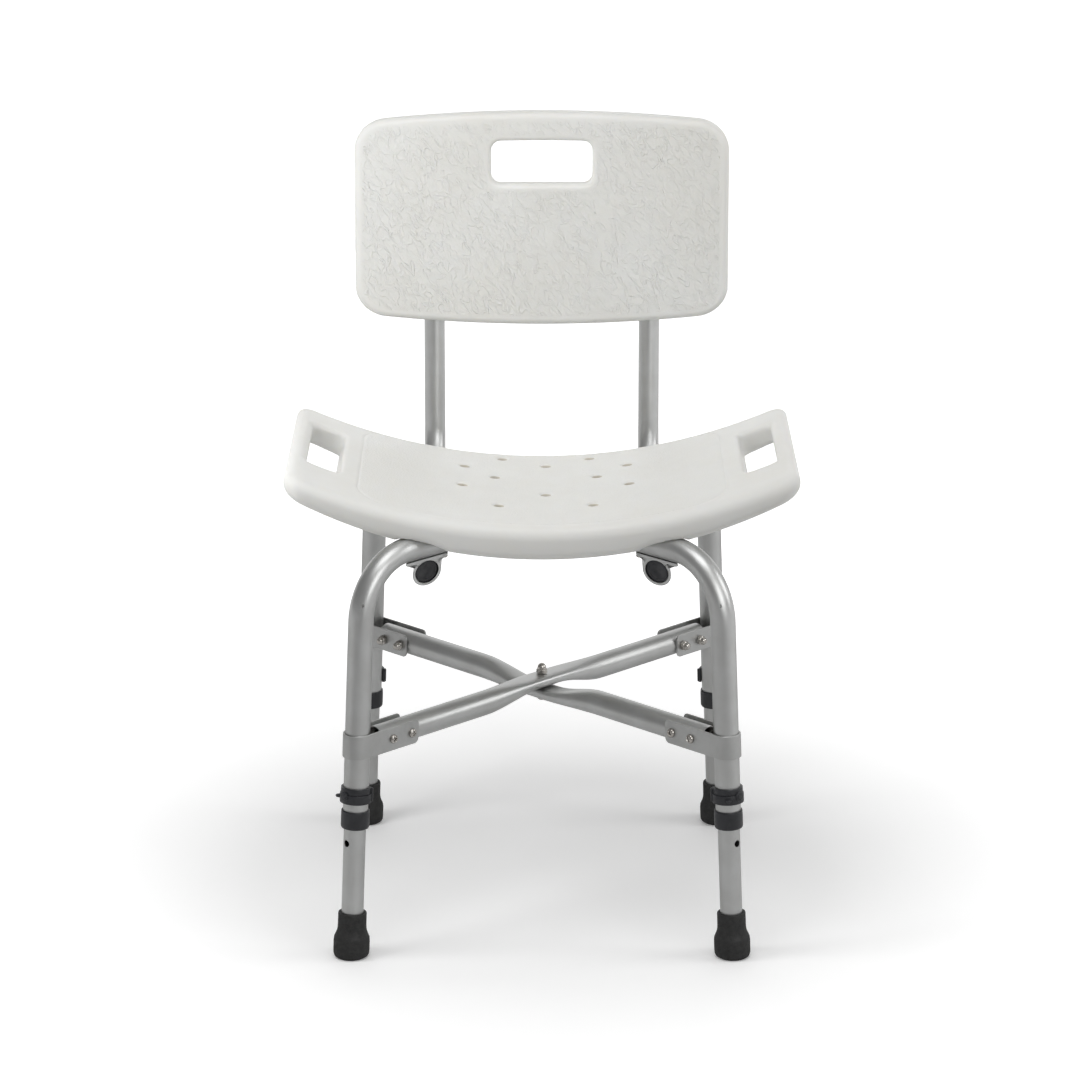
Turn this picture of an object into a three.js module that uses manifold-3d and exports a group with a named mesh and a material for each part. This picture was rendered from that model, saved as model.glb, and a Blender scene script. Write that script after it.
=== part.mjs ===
// Shower chair: a curved plastic seat on two crossing arch tubes with height-adjustable legs, an X-brace,
// and a back that slides out of two sleeves under the seat.
// Millimetres, +Z up, the chair faces -Y. The origin is on the floor, in the middle of the whole outline.
import * as THREE from "three";
import { mergeVertices } from "three/addons/utils/BufferGeometryUtils.js";
import Module from "manifold-3d";

const wasm = await Module();
wasm.setup();

// ---------------------------------------------------------------- driving dimensions
const GAP = 0.3; // clearance kept between neighbouring solids
const TUBE_SIDES = 16;
const SMALL_SIDES = 8;

const TUBE_RADIUS = 12.7; // arch tubes and cross braces
const TUBE_BORE = 11.5;
const DRILL_REACH = 20; // from a tube's centre line to either end of a tool that goes right through it

const FOOT_SPREAD = 194; // foot centre to the chair's middle, across and front to back
const LEG_LEAN = THREE.MathUtils.degToRad(3.13); // legs lean in as they rise
const ARCH_Z = 412.5; // centre line of the arches under the seat
const BEND_RADIUS = 63.5;
const BEND_STEPS = 4;
const OUTER_TUBE_END = 141.5; // along a leg from the floor
const FLAT_HEIGHT = 12.2; // a tube pressed flat where it crosses its twin
const FLAT_WIDTH_FACTOR = 1.12;
const FLAT_HALF_LENGTH = 14;
const FLAT_RUN_OUT = 64; // length over which it grows round again
const CROSS_GAP = 0.15;

const SEAT_HALF_WIDTH = 258.5;
const SEAT_DEPTH = 284;
const SEAT_TOP_Z = 436;
const SEAT_BOTTOM_Z = 402;
const SEAT_TOP_RADIUS = 606;
const SEAT_BOTTOM_RADIUS = 530;
const SEAT_NOSE = 13; // length of the rounded ends
const SEAT_EDGE = 8;
const SEAT_CORNER = 20;
const HANDLE_SLOT = { x: 222.5, y: 13.5, width: 33, length: 147, corner: 9 };
const DRAIN_HOLES = [
  // x from the middle line (mirrored unless 0), y
  [46, 114],
  [0, 91],
  [85, 74],
  [53, 43],
  [86, 3],
  [0, -16.5],
  [48, -60.5],
];
const DRAIN_SHIFT = 4.3; // the whole pattern sits a little to the right
const DRAIN_RADIUS = 3.6;
const DRAIN_DISH = 7;
const DRAIN_DISH_DEPTH = 2.2;
const BELOW_SEAT = 350; // levels that clear the seat, for tools that cut through it
const ABOVE_SEAT = 550;

const SLEEVE_X = 115.5; // sleeves and back tubes, from the middle
const SLEEVE_Z = 385.5;
const SLEEVE_RADIUS = 14;
const SLEEVE_BORE = 11.4;
const FLANGE_HALF_WIDTH = 20.7;
const FLANGE_THICKNESS = 3;
const FLANGE_TOP = 399.5;
const MITRE_OFFSET = 7; // mitred sleeve end, past the arch's centre line, measured along Y
const PLUG_RECESS = 2;
const PLUG_REAR = -98;
const UNCUT_END = 170; // sleeves and plugs before their mitre is cut, from the middle

const BACK_TUBE_RADIUS = 11.1;
const BACK_TUBE_BORE = 9.8;
const BACK_TUBE_FRONT = -80;
const UPRIGHT_Y = 240; // centre line of the uprights at the top of their bend
const BACK_BEND_RADIUS = 60;
const BACK_LEAN = THREE.MathUtils.degToRad(4);
const UPRIGHT_LENGTH = 262;
const BUTTON_Y = 92;
const BUTTON_RADIUS = 4;

const PANEL_WIDTH = 400;
const PANEL_BOTTOM = 111; // along the uprights from the top of their bend
const PANEL_HEIGHT = 229;
const PANEL_CROWN = 12;
const PANEL_CORNER = 32;
const PANEL_FRONT = -15.5; // from the uprights' centre line
const PANEL_THICKNESS = 30;
const PANEL_EDGE = 7;
const HAND_SLOT = { width: 108, height: 47, top: 30.5, corner: 11 };
const SOCKET_RADIUS = 11.4;
const BACK_SCREW_HEIGHTS = { lower: 150, upper: 232 };

const LEG_RADIUS = 11.2; // extension tube in the outer tube
const LEG_BORE = 9.8;
const LEG_BOTTOM = 6;
const LEG_TOP = 275;
const HOLE_PITCH = 25.4;
const PIN_Z = 172.5;
const LEG_HOLES_BELOW_PIN = 2;
const LEG_HOLES_ABOVE_PIN = 3;
const HOLE_RADIUS = 3.6;

const FOOT = { base: 18.6, neck: 14.5, top: 47, flareLow: 20, flareHigh: 29, bevel: 2.5 };
const COLLAR = { bottom: 137, top: 156, radius: 14.4 };
const CLIP = { height: 16, inner: 13, outer: 16.3, halfSweep: 135 };

const BRACE_Z = 224.5;
const BRACE_END = 238;
const BRACKET = { height: 22.4, inner: 13, outer: 14.8, earEnd: 191, corner: 4 };
const BRACKET_SCREWS = { outer: 226, inner: 200 };
const SCREW_M5 = { shank: 2.5, head: 4.7, headHeight: 3 };
const NUT_M5 = { hex: 4.95, hexHeight: 4.2, dome: 3.9, height: 9 };
const SCREW_M6 = { shank: 3, head: 5, headHeight: 4 };
const NUT_M6 = { hex: 5.77, hexHeight: 5, dome: 4.6, height: 11 };
const SCREW_M4 = { shank: 2, head: 3.5, headHeight: 2.8 };
const SEAT_SCREW = { x: 98.5, top: 438 };

// ---------------------------------------------------------------- materials
function finish(color, roughness, metalness) {
  return () => new THREE.MeshStandardMaterial({ color, roughness, metalness });
}
const WHITE_PLASTIC = finish(0xe4e4e0, 0.45, 0);
const SATIN_ALUMINIUM = finish(0xa9aaa7, 0.4, 0.9);
const BLACK_PLASTIC = finish(0x2c2d31, 0.4, 0);
const BLACK_RUBBER = finish(0x31312f, 0.8, 0);
const STAINLESS = finish(0xbdbab4, 0.22, 1);

// ---------------------------------------------------------------- solids
function solid(geometry) {
  const bare = geometry.index ? geometry.toNonIndexed() : geometry.clone();
  bare.deleteAttribute("normal");
  bare.deleteAttribute("uv");
  const merged = mergeVertices(bare, 1e-4);
  return new wasm.Manifold(
    new wasm.Mesh({
      numProp: 3,
      vertProperties: merged.attributes.position.array,
      triVerts: new Uint32Array(merged.index.array),
    }),
  );
}

function geometryOf(manifold) {
  const { vertProperties, triVerts } = manifold.getMesh();
  const geometry = new THREE.BufferGeometry();
  geometry.setAttribute("position", new THREE.BufferAttribute(new Float32Array(vertProperties), 3));
  geometry.setIndex(new THREE.BufferAttribute(new Uint32Array(triVerts), 1));
  geometry.computeVertexNormals();
  return geometry;
}

const cut = (base, tools) =>
  geometryOf(tools.reduce((result, tool) => result.subtract(solid(tool)), solid(base)));
const join = (pieces) =>
  geometryOf(pieces.map(solid).reduce((result, piece) => result.add(piece)));
const keepInside = (base, limit) => geometryOf(solid(base).intersect(solid(limit)));

// A straight rod along +Z.
function rod(radius, from, to, sides = SMALL_SIDES) {
  const geometry = new THREE.CylinderGeometry(radius, radius, to - from, sides);
  geometry.rotateX(Math.PI / 2);
  return geometry.translate(0, 0, (from + to) / 2);
}

// A clearance hole for a screw, along Y.
function crossHole({ shank }, x, z, from = -DRILL_REACH, to = DRILL_REACH) {
  return rod(shank + GAP, from, to).rotateX(Math.PI / 2).translate(x, 0, z);
}

// A turned shape about +Z from [radius, z] points.
function turned(profile, sides = SMALL_SIDES) {
  const points = profile.map(([radius, z]) => new THREE.Vector2(radius, z));
  return new THREE.LatheGeometry(points, sides).rotateX(Math.PI / 2);
}

// An upright prism from a plan outline.
function prism(shape, from, to, curveSegments = 6) {
  const options = { depth: to - from, bevelEnabled: false, curveSegments };
  return new THREE.ExtrudeGeometry(shape, options).translate(0, 0, from);
}

function roundedRectangle(width, height, corner, x = 0, y = 0, path = new THREE.Shape()) {
  const [left, right] = [x - width / 2, x + width / 2];
  const [low, high] = [y - height / 2, y + height / 2];
  path.moveTo(left + corner, low);
  path.lineTo(right - corner, low);
  path.quadraticCurveTo(right, low, right, low + corner);
  path.lineTo(right, high - corner);
  path.quadraticCurveTo(right, high, right - corner, high);
  path.lineTo(left + corner, high);
  path.quadraticCurveTo(left, high, left, high - corner);
  path.lineTo(left, low + corner);
  path.quadraticCurveTo(left, low, left + corner, low);
  return path;
}

function ring(outer, inner) {
  const shape = new THREE.Shape().absarc(0, 0, outer, 0, 2 * Math.PI, false);
  shape.holes.push(new THREE.Path().absarc(0, 0, inner, 0, 2 * Math.PI, true));
  return shape;
}

// A path through chosen stations, each a point and a direction.
class StationPath extends THREE.Curve {
  constructor(stations) {
    super();
    this.stations = stations;
  }
  station(t) {
    return this.stations[Math.round(t * (this.stations.length - 1))];
  }
  getPoint(t) {
    return this.station(t).point.clone();
  }
  getPointAt(t) {
    return this.getPoint(t);
  }
  getTangentAt(t) {
    return this.station(t).direction.clone().normalize();
  }
}

function tubeAlong(stations, outer, inner) {
  return new THREE.ExtrudeGeometry(ring(outer, inner), {
    steps: stations.length - 1,
    curveSegments: TUBE_SIDES / 2,
    extrudePath: new StationPath(stations),
  });
}

const station = (x, y, z, dx, dy, dz) => ({
  point: new THREE.Vector3(x, y, z),
  direction: new THREE.Vector3(dx, dy, dz),
});

// Presses a tube along X flat near its middle, above (+1) or below (-1) its centre line.
const FLAT_STATIONS = [0, 0.5, 1].map((part) => FLAT_HALF_LENGTH + part * FLAT_RUN_OUT);
function pressFlat(geometry, centreZ, side) {
  const position = geometry.attributes.position;
  const flat = FLAT_HEIGHT / (2 * TUBE_RADIUS);
  for (let i = 0; i < position.count; i++) {
    const reach = Math.abs(position.getX(i));
    const amount = 1 - THREE.MathUtils.smoothstep(reach, FLAT_HALF_LENGTH, FLAT_HALF_LENGTH + FLAT_RUN_OUT);
    if (amount === 0 || Math.abs(position.getZ(i) - centreZ) > 2 * TUBE_RADIUS) continue;
    const shift = side * amount * (FLAT_HEIGHT / 2 + CROSS_GAP);
    const height = (position.getZ(i) - centreZ) * (1 - amount * (1 - flat));
    position.setY(i, position.getY(i) * (1 + amount * (FLAT_WIDTH_FACTOR - 1)));
    position.setZ(i, centreZ + shift + height);
  }
  return geometry;
}

// ---------------------------------------------------------------- fasteners, along +Z, head up
function screw({ shank, head, headHeight }, length) {
  return turned([
    [0, -length],
    [shank, -length],
    [shank, 0],
    [head, 0],
    [head * 0.92, headHeight * 0.6],
    [head * 0.5, headHeight],
    [0, headHeight],
  ]);
}

function acornNut({ hex, hexHeight, dome, height }, bore) {
  const body = new THREE.CylinderGeometry(hex, hex, hexHeight, 6).rotateX(Math.PI / 2);
  const boreEnd = hexHeight + 1.4;
  const cap = turned([
    [0, hexHeight / 2],
    [dome, hexHeight / 2],
    [dome, hexHeight],
    [dome * 0.8, hexHeight + (height - hexHeight) * 0.6],
    [dome * 0.3, height],
    [0, height],
  ]);
  return cut(join([body.translate(0, 0, hexHeight / 2), cap]), [rod(bore, -1, boreEnd)]);
}

// ---------------------------------------------------------------- scene helpers
const chair = new THREE.Group();

function add(parent, name, geometry, material) {
  const mesh = new THREE.Mesh(geometry, material());
  mesh.name = name;
  parent.add(mesh);
  return mesh;
}

function groupIn(parent, place) {
  const group = new THREE.Group();
  place(group);
  parent.add(group);
  group.updateMatrix();
  return group;
}

// The four corners: plan angle of the diagonal, and which side of the brace the screw heads are on.
const CORNERS = [
  { name: "front_left", angle: 225, headSide: 1 },
  { name: "front_right", angle: 315, headSide: -1 },
  { name: "rear_right", angle: 45, headSide: 1 },
  { name: "rear_left", angle: 135, headSide: -1 },
];
const radians = THREE.MathUtils.degToRad;
const footReach = FOOT_SPREAD * Math.SQRT2;
const reachAt = (z) => footReach - z * Math.tan(LEG_LEAN);

// From a leg's own frame (origin on the floor, +Z up the leg, +X outward) to its diagonal's frame.
const legPlace = new THREE.Matrix4()
  .makeRotationY(-LEG_LEAN)
  .setPosition(footReach, 0, 0);

// ---------------------------------------------------------------- arches and braces
// Both run along X in their own frame: the diagonal from one leg to the opposite one.
function archStations() {
  const bendZ = ARCH_Z - BEND_RADIUS;
  const bendX = footReach - (BEND_RADIUS + bendZ * Math.sin(LEG_LEAN)) / Math.cos(LEG_LEAN);
  const half = FLAT_STATIONS.map((x) => station(x, 0, ARCH_Z, 1, 0, 0));
  for (let i = 0; i <= BEND_STEPS; i++) {
    const angle = Math.PI / 2 + (i / BEND_STEPS) * (LEG_LEAN - Math.PI / 2);
    const [c, s] = [Math.cos(angle), Math.sin(angle)];
    half.push(station(bendX + BEND_RADIUS * c, 0, bendZ + BEND_RADIUS * s, s, 0, -c));
  }
  const end = new THREE.Vector3(0, 0, OUTER_TUBE_END).applyMatrix4(legPlace);
  half.push(station(end.x, 0, end.z, Math.sin(LEG_LEAN), 0, -Math.cos(LEG_LEAN)));
  const mirrored = half.map(({ point: p, direction: d }) => station(-p.x, 0, p.z, d.x, 0, -d.z));
  return [...mirrored.reverse(), ...half];
}

function archTube(side) {
  const tube = pressFlat(tubeAlong(archStations(), TUBE_RADIUS, TUBE_BORE), ARCH_Z, side);
  const tools = [0, Math.PI].flatMap((turn) => {
    const pinHole = rod(HOLE_RADIUS, TUBE_BORE / 2, DRILL_REACH)
      .rotateY(Math.PI / 2)
      .translate(0, 0, PIN_Z)
      .applyMatrix4(legPlace);
    const screwHole = rod(SCREW_M4.shank + GAP, ARCH_Z - DRILL_REACH, ARCH_Z + DRILL_REACH);
    screwHole.translate(SEAT_SCREW.x * Math.SQRT2, 0, 0);
    return [pinHole, screwHole].map((tool) => tool.rotateZ(turn));
  });
  return cut(tube, tools);
}

function braceTube(side) {
  const xs = [...FLAT_STATIONS, BRACE_END];
  const stations = [...xs.map((x) => -x).reverse(), ...xs].map((x) => station(x, 0, BRACE_Z, 1, 0, 0));
  const tube = pressFlat(tubeAlong(stations, TUBE_RADIUS, TUBE_BORE), BRACE_Z, side);
  const tools = [rod(SCREW_M6.shank + GAP, BRACE_Z - DRILL_REACH, BRACE_Z + DRILL_REACH)];
  for (const x of Object.values(BRACKET_SCREWS))
    for (const end of [-1, 1]) tools.push(crossHole(SCREW_M5, end * x, BRACE_Z));
  return cut(tube, tools);
}

const diagonals = [45, 135].map((angle) =>
  groupIn(chair, (group) => {
    group.rotation.z = radians(angle);
  }),
);
["upper", "lower"].forEach((level, i) => {
  const side = level === "upper" ? 1 : -1;
  add(diagonals[i], `arch_tube_${level}`, archTube(side), SATIN_ALUMINIUM);
  add(diagonals[i], `cross_brace_${level}`, braceTube(side), SATIN_ALUMINIUM);
});

const crossHalf = FLAT_HEIGHT + CROSS_GAP;
const crossBolt = screw(SCREW_M6, 2 * (crossHalf + GAP) + 5.5).rotateX(Math.PI);
add(chair, "cross_bolt", crossBolt, STAINLESS).position.z = BRACE_Z - crossHalf - GAP;
const crossNut = acornNut(NUT_M6, SCREW_M6.shank + GAP);
add(chair, "cross_nut", crossNut, STAINLESS).position.z = BRACE_Z + crossHalf + GAP;

// ---------------------------------------------------------------- brackets that hold the brace to the legs
function bracket() {
  const { inner, outer, earEnd, height, corner } = BRACKET;
  const legX = reachAt(BRACE_Z);
  const strap = new THREE.Shape();
  strap.moveTo(earEnd, inner);
  strap.lineTo(legX, inner);
  strap.absarc(legX, 0, inner, Math.PI / 2, -Math.PI / 2, true);
  strap.lineTo(earEnd, -inner);
  strap.lineTo(earEnd, -outer);
  strap.lineTo(legX, -outer);
  strap.absarc(legX, 0, outer, -Math.PI / 2, Math.PI / 2, false);
  strap.lineTo(earEnd, outer);
  const [low, high] = [BRACE_Z - height / 2, BRACE_Z + height / 2];
  const body = prism(strap, low, high, TUBE_SIDES / 4);
  const length = legX + DRILL_REACH - earEnd;
  const side = roundedRectangle(length, height, corner, earEnd + length / 2, BRACE_Z);
  const rounded = prism(side, -DRILL_REACH, DRILL_REACH, 2).rotateX(Math.PI / 2);
  const holes = Object.values(BRACKET_SCREWS).map((x) => crossHole(SCREW_M5, x, BRACE_Z));
  const lean = new THREE.Matrix4().makeShear(0, 0, 0, 0, -Math.tan(LEG_LEAN), 0);
  const shear = new THREE.Matrix4()
    .makeTranslation(0, 0, BRACE_Z)
    .multiply(lean)
    .multiply(new THREE.Matrix4().makeTranslation(0, 0, -BRACE_Z));
  return cut(keepInside(body, rounded).applyMatrix4(shear), holes);
}

// ---------------------------------------------------------------- legs
function legExtension() {
  const tube = prism(ring(LEG_RADIUS, LEG_BORE), LEG_BOTTOM, LEG_TOP, TUBE_SIDES / 2);
  const holes = [];
  for (let i = -LEG_HOLES_BELOW_PIN; i <= LEG_HOLES_ABOVE_PIN; i++) {
    const hole = rod(HOLE_RADIUS, LEG_BORE / 2, DRILL_REACH).rotateY(Math.PI / 2);
    holes.push(hole.translate(0, 0, PIN_Z + i * HOLE_PITCH));
  }
  return cut(tube, holes);
}

function foot() {
  const { base, neck, top, flareLow, flareHigh, bevel } = FOOT;
  const socket = LEG_RADIUS + GAP;
  const overlap = 3; // turned a little deeper, then cut level with the floor
  const body = turned(
    [
      [0, -overlap],
      [base - bevel, -overlap],
      [base - bevel, 0],
      [base, bevel],
      [base, flareLow],
      [neck, flareHigh],
      [neck, top],
      [socket, top],
      [socket, LEG_BOTTOM - GAP],
      [0, LEG_BOTTOM - GAP],
    ],
    TUBE_SIDES,
  );
  const slab = { width: 100, height: 20 };
  const belowFloor = new THREE.BoxGeometry(slab.width, slab.width, slab.height);
  belowFloor.translate(footReach, 0, -slab.height / 2);
  return cut(body, [belowFloor.applyMatrix4(legPlace.clone().invert())]);
}

function collar() {
  const { bottom, top, radius } = COLLAR;
  return turned(
    [
      [LEG_RADIUS + GAP, bottom],
      [radius - 1, bottom],
      [radius, bottom + 1.5],
      [radius, top],
      [TUBE_RADIUS + GAP, top],
      [TUBE_RADIUS + GAP, OUTER_TUBE_END - GAP],
      [LEG_RADIUS + GAP, OUTER_TUBE_END - GAP],
      [LEG_RADIUS + GAP, bottom],
    ],
    TUBE_SIDES,
  );
}

// An open spring ring with a locking pin on its outward side, a finger tab and lugs at its ends.
function lockClip() {
  const { height, inner, outer, halfSweep } = CLIP;
  const sweep = radians(halfSweep);
  const shape = new THREE.Shape();
  shape.absarc(0, 0, outer, -sweep, sweep, false);
  shape.absarc(0, 0, inner, sweep, -sweep, true);
  const band = prism(shape, -height / 2, height / 2, 6);
  const pin = rod(HOLE_RADIUS - GAP, TUBE_BORE + 0.1, outer + 0.6).rotateY(Math.PI / 2);
  const block = (length, width, tall, x, angle) =>
    new THREE.BoxGeometry(length, width, tall).translate(x, 0, 0).rotateZ(angle);
  const tab = block(4.5, 6, 5, outer + 1.5, radians(-45));
  const lugs = [-1, 1].map((side) => block(4, 4, height - 2, outer - 1, side * (sweep - 0.13)));
  return join([band, pin, tab, ...lugs]).translate(0, 0, PIN_Z);
}

for (const { name, angle, headSide } of CORNERS) {
  const corner = groupIn(chair, (group) => {
    group.rotation.z = radians(angle);
  });
  add(corner, `brace_bracket_${name}`, bracket(), SATIN_ALUMINIUM);
  for (const [place, x] of Object.entries(BRACKET_SCREWS)) {
    const headY = headSide * (BRACKET.outer + GAP);
    const bolt = screw(SCREW_M5, 2 * Math.abs(headY) + 5).rotateX(-headSide * Math.PI / 2);
    add(corner, `bracket_screw_${name}_${place}`, bolt, STAINLESS).position.set(x, headY, BRACE_Z);
    const nut = acornNut(NUT_M5, SCREW_M5.shank + GAP).rotateX(headSide * Math.PI / 2);
    add(corner, `bracket_nut_${name}_${place}`, nut, STAINLESS).position.set(x, -headY, BRACE_Z);
  }
  const leg = groupIn(corner, (group) => {
    group.position.x = footReach;
    group.rotation.y = -LEG_LEAN;
  });
  add(leg, `leg_extension_${name}`, legExtension(), SATIN_ALUMINIUM);
  add(leg, `foot_${name}`, foot(), BLACK_RUBBER);
  add(leg, `leg_collar_${name}`, collar(), BLACK_PLASTIC);
  add(leg, `leg_clip_${name}`, lockClip(), BLACK_PLASTIC);
  const seatScrew = screw(SCREW_M4, SEAT_SCREW.top - (FLANGE_TOP - FLANGE_THICKNESS - GAP)).rotateX(Math.PI);
  add(corner, `seat_screw_${name}`, seatScrew, STAINLESS).position.set(
    SEAT_SCREW.x * Math.SQRT2,
    0,
    FLANGE_TOP - FLANGE_THICKNESS - GAP,
  );
}

// ---------------------------------------------------------------- seat
// Height of a seat surface at x: an arc that rises towards both ends.
const seatRise = (x, radius) => radius - Math.sqrt(radius * radius - x * x);

function seatSection() {
  const arcEnd = SEAT_HALF_WIDTH - SEAT_NOSE;
  const arcPoints = 7;
  const top = (x) => SEAT_TOP_Z + seatRise(x, SEAT_TOP_RADIUS);
  const bottom = (x) => SEAT_BOTTOM_Z + seatRise(x, SEAT_BOTTOM_RADIUS);
  const half = [];
  for (let i = 0; i <= arcPoints; i++) {
    const x = (arcEnd * i) / arcPoints;
    half.push([x, bottom(x)]);
  }
  const middle = (top(arcEnd) + bottom(arcEnd)) / 2 + 2;
  const reach = (top(arcEnd) - bottom(arcEnd)) / 2;
  for (const degrees of [-50, -22, 8, 38, 62])
    half.push([
      arcEnd + SEAT_NOSE * Math.cos(radians(degrees)),
      middle + reach * Math.sin(radians(degrees)),
    ]);
  for (let i = arcPoints; i >= 0; i--) {
    const x = (arcEnd * i) / arcPoints;
    half.push([x, top(x)]);
  }
  const mirrored = half.slice(1, -1).reverse().map(([x, z]) => [-x, z]);
  return new THREE.Shape([...half, ...mirrored].map(([x, z]) => new THREE.Vector2(x, z)));
}

function drainHole(x, y) {
  const top = SEAT_TOP_Z + seatRise(x, SEAT_TOP_RADIUS);
  const overcut = 1;
  const profile = [
    [0, BELOW_SEAT],
    [DRAIN_RADIUS, BELOW_SEAT],
    [DRAIN_RADIUS, top - DRAIN_DISH_DEPTH],
    [DRAIN_DISH, top + overcut],
    [0, top + overcut],
  ];
  return turned(profile).translate(x, y, 0);
}

// The groove that an arch tube lies in, along X.
function archGroove() {
  const radius = TUBE_RADIUS + GAP;
  const reach = 220; // past the seat's corners
  const shape = new THREE.Shape();
  shape.moveTo(radius, BELOW_SEAT);
  shape.lineTo(radius, ARCH_Z);
  shape.absarc(0, ARCH_Z, radius, 0, Math.PI, false);
  shape.lineTo(-radius, BELOW_SEAT);
  return prism(shape, -reach, reach, 5).rotateX(Math.PI / 2).rotateZ(Math.PI / 2);
}

// The wider part of that groove, round the stretch where the tubes are pressed flat.
function crossingGroove() {
  const width = 2 * (TUBE_RADIUS * FLAT_WIDTH_FACTOR + GAP);
  const top = ARCH_Z + TUBE_RADIUS + GAP;
  const height = top - BELOW_SEAT;
  const length = 2 * (FLAT_HALF_LENGTH + FLAT_RUN_OUT);
  return new THREE.BoxGeometry(length, width, height).translate(0, 0, top - height / 2);
}

function seat() {
  const section = new THREE.ExtrudeGeometry(seatSection(), {
    depth: SEAT_DEPTH - 2 * SEAT_EDGE,
    bevelThickness: SEAT_EDGE,
    bevelSize: SEAT_EDGE,
    bevelOffset: -SEAT_EDGE,
    bevelSegments: 2,
  });
  section.rotateX(Math.PI / 2).translate(0, SEAT_DEPTH / 2 - SEAT_EDGE, 0);
  const plan = roundedRectangle(2 * SEAT_HALF_WIDTH + 1, SEAT_DEPTH + 1, SEAT_CORNER);
  const tools = [45, 135].flatMap((angle) =>
    [archGroove(), crossingGroove()].map((tool) => tool.rotateZ(radians(angle))),
  );
  for (const side of [-1, 1]) {
    const { x, y, width, length, corner } = HANDLE_SLOT;
    tools.push(prism(roundedRectangle(width, length, corner, side * x, y), BELOW_SEAT, ABOVE_SEAT, 2));
  }
  for (const [x, y] of DRAIN_HOLES)
    for (const side of x ? [-1, 1] : [1]) tools.push(drainHole(side * x + DRAIN_SHIFT, y));
  const screwHole = rod(SCREW_M4.shank + GAP, BELOW_SEAT, SEAT_SCREW.top + GAP);
  for (const x of [-1, 1])
    for (const y of [-1, 1]) tools.push(screwHole.clone().translate(x * SEAT_SCREW.x, y * SEAT_SCREW.x, 0));
  return cut(keepInside(section, prism(plan, BELOW_SEAT, ABOVE_SEAT, 3)), tools);
}
add(chair, "seat", seat(), WHITE_PLASTIC);

// ---------------------------------------------------------------- sleeves under the arches
// The region between the two mitred ends: |y| < |x| + offset on one side of the chair.
function mitreLimit(side, offset) {
  const reach = 300;
  const [low, high] = [SLEEVE_Z - 2 * SLEEVE_RADIUS, SLEEVE_Z + 2 * SLEEVE_RADIUS];
  const shape = new THREE.Shape();
  shape.moveTo(-offset, 0);
  shape.lineTo(reach, -reach - offset);
  shape.lineTo(reach, reach + offset);
  return prism(shape, low, high).rotateZ(side < 0 ? Math.PI : 0);
}

function sleeve(side) {
  const x = side * SLEEVE_X;
  const screwX = side * SEAT_SCREW.x;
  const bevel = 1.2;
  const half = FLANGE_HALF_WIDTH;
  const under = FLANGE_TOP - FLANGE_THICKNESS;
  const meet = Math.asin((under - SLEEVE_Z) / SLEEVE_RADIUS);
  const shape = new THREE.Shape();
  shape.moveTo(-half + bevel, FLANGE_TOP);
  shape.lineTo(-half, FLANGE_TOP - bevel);
  shape.lineTo(-half + bevel, under);
  shape.absarc(0, SLEEVE_Z, SLEEVE_RADIUS, Math.PI - meet, 2 * Math.PI + meet, false);
  shape.lineTo(half - bevel, under);
  shape.lineTo(half, FLANGE_TOP - bevel);
  shape.lineTo(half - bevel, FLANGE_TOP);
  shape.holes.push(new THREE.Path().absarc(0, SLEEVE_Z, SLEEVE_BORE, 0, 2 * Math.PI, true));
  const bar = prism(shape, -UNCUT_END, UNCUT_END, TUBE_SIDES / 2).rotateX(Math.PI / 2).translate(x, 0, 0);
  const tools = [-1, 1].map((end) =>
    rod(SCREW_M4.shank + GAP, SLEEVE_Z, ARCH_Z).translate(screwX, end * SEAT_SCREW.x, 0),
  );
  tools.push(rod(BUTTON_RADIUS + GAP, SLEEVE_Z - DRILL_REACH, SLEEVE_Z).translate(x, BUTTON_Y, 0));
  return cut(keepInside(bar, mitreLimit(side, MITRE_OFFSET)), tools);
}

// Closes a sleeve's front end, just inside its mitred rim.
function sleevePlug(side) {
  const body = rod(SLEEVE_BORE - GAP, -PLUG_REAR, UNCUT_END, TUBE_SIDES);
  body.rotateX(Math.PI / 2).translate(side * SLEEVE_X, 0, SLEEVE_Z);
  return keepInside(body, mitreLimit(side, MITRE_OFFSET - PLUG_RECESS));
}

// ---------------------------------------------------------------- back
function backTube() {
  const bendZ = SLEEVE_Z + BACK_BEND_RADIUS;
  const bendY = UPRIGHT_Y - BACK_BEND_RADIUS;
  const stations = [station(0, BACK_TUBE_FRONT, SLEEVE_Z, 0, 1, 0)];
  for (let i = 0; i <= BEND_STEPS; i++) {
    const angle = (i / BEND_STEPS) * (Math.PI / 2 - BACK_LEAN);
    const [c, s] = [Math.cos(angle), Math.sin(angle)];
    stations.push(station(0, bendY + BACK_BEND_RADIUS * s, bendZ - BACK_BEND_RADIUS * c, 0, c, s));
  }
  const last = stations.at(-1);
  const top = last.point.clone().addScaledVector(last.direction, UPRIGHT_LENGTH);
  stations.push({ point: top, direction: last.direction.clone() });
  const tube = tubeAlong(stations, BACK_TUBE_RADIUS, BACK_TUBE_BORE);
  const holes = [rod(BUTTON_RADIUS + GAP, SLEEVE_Z - DRILL_REACH, SLEEVE_Z).translate(0, BUTTON_Y, 0)];
  for (const height of Object.values(BACK_SCREW_HEIGHTS))
    holes.push(crossHole(SCREW_M5, 0, height).applyMatrix4(backPlace));
  return cut(tube, holes);
}

// From the back's own frame (origin at the top of the bend, +Z up the uprights) to the chair's.
const backPlace = new THREE.Matrix4()
  .makeRotationX(-BACK_LEAN)
  .setPosition(
    0,
    UPRIGHT_Y - BACK_BEND_RADIUS * (1 - Math.cos(BACK_LEAN)),
    SLEEVE_Z + BACK_BEND_RADIUS * (1 - Math.sin(BACK_LEAN)),
  );

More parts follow.
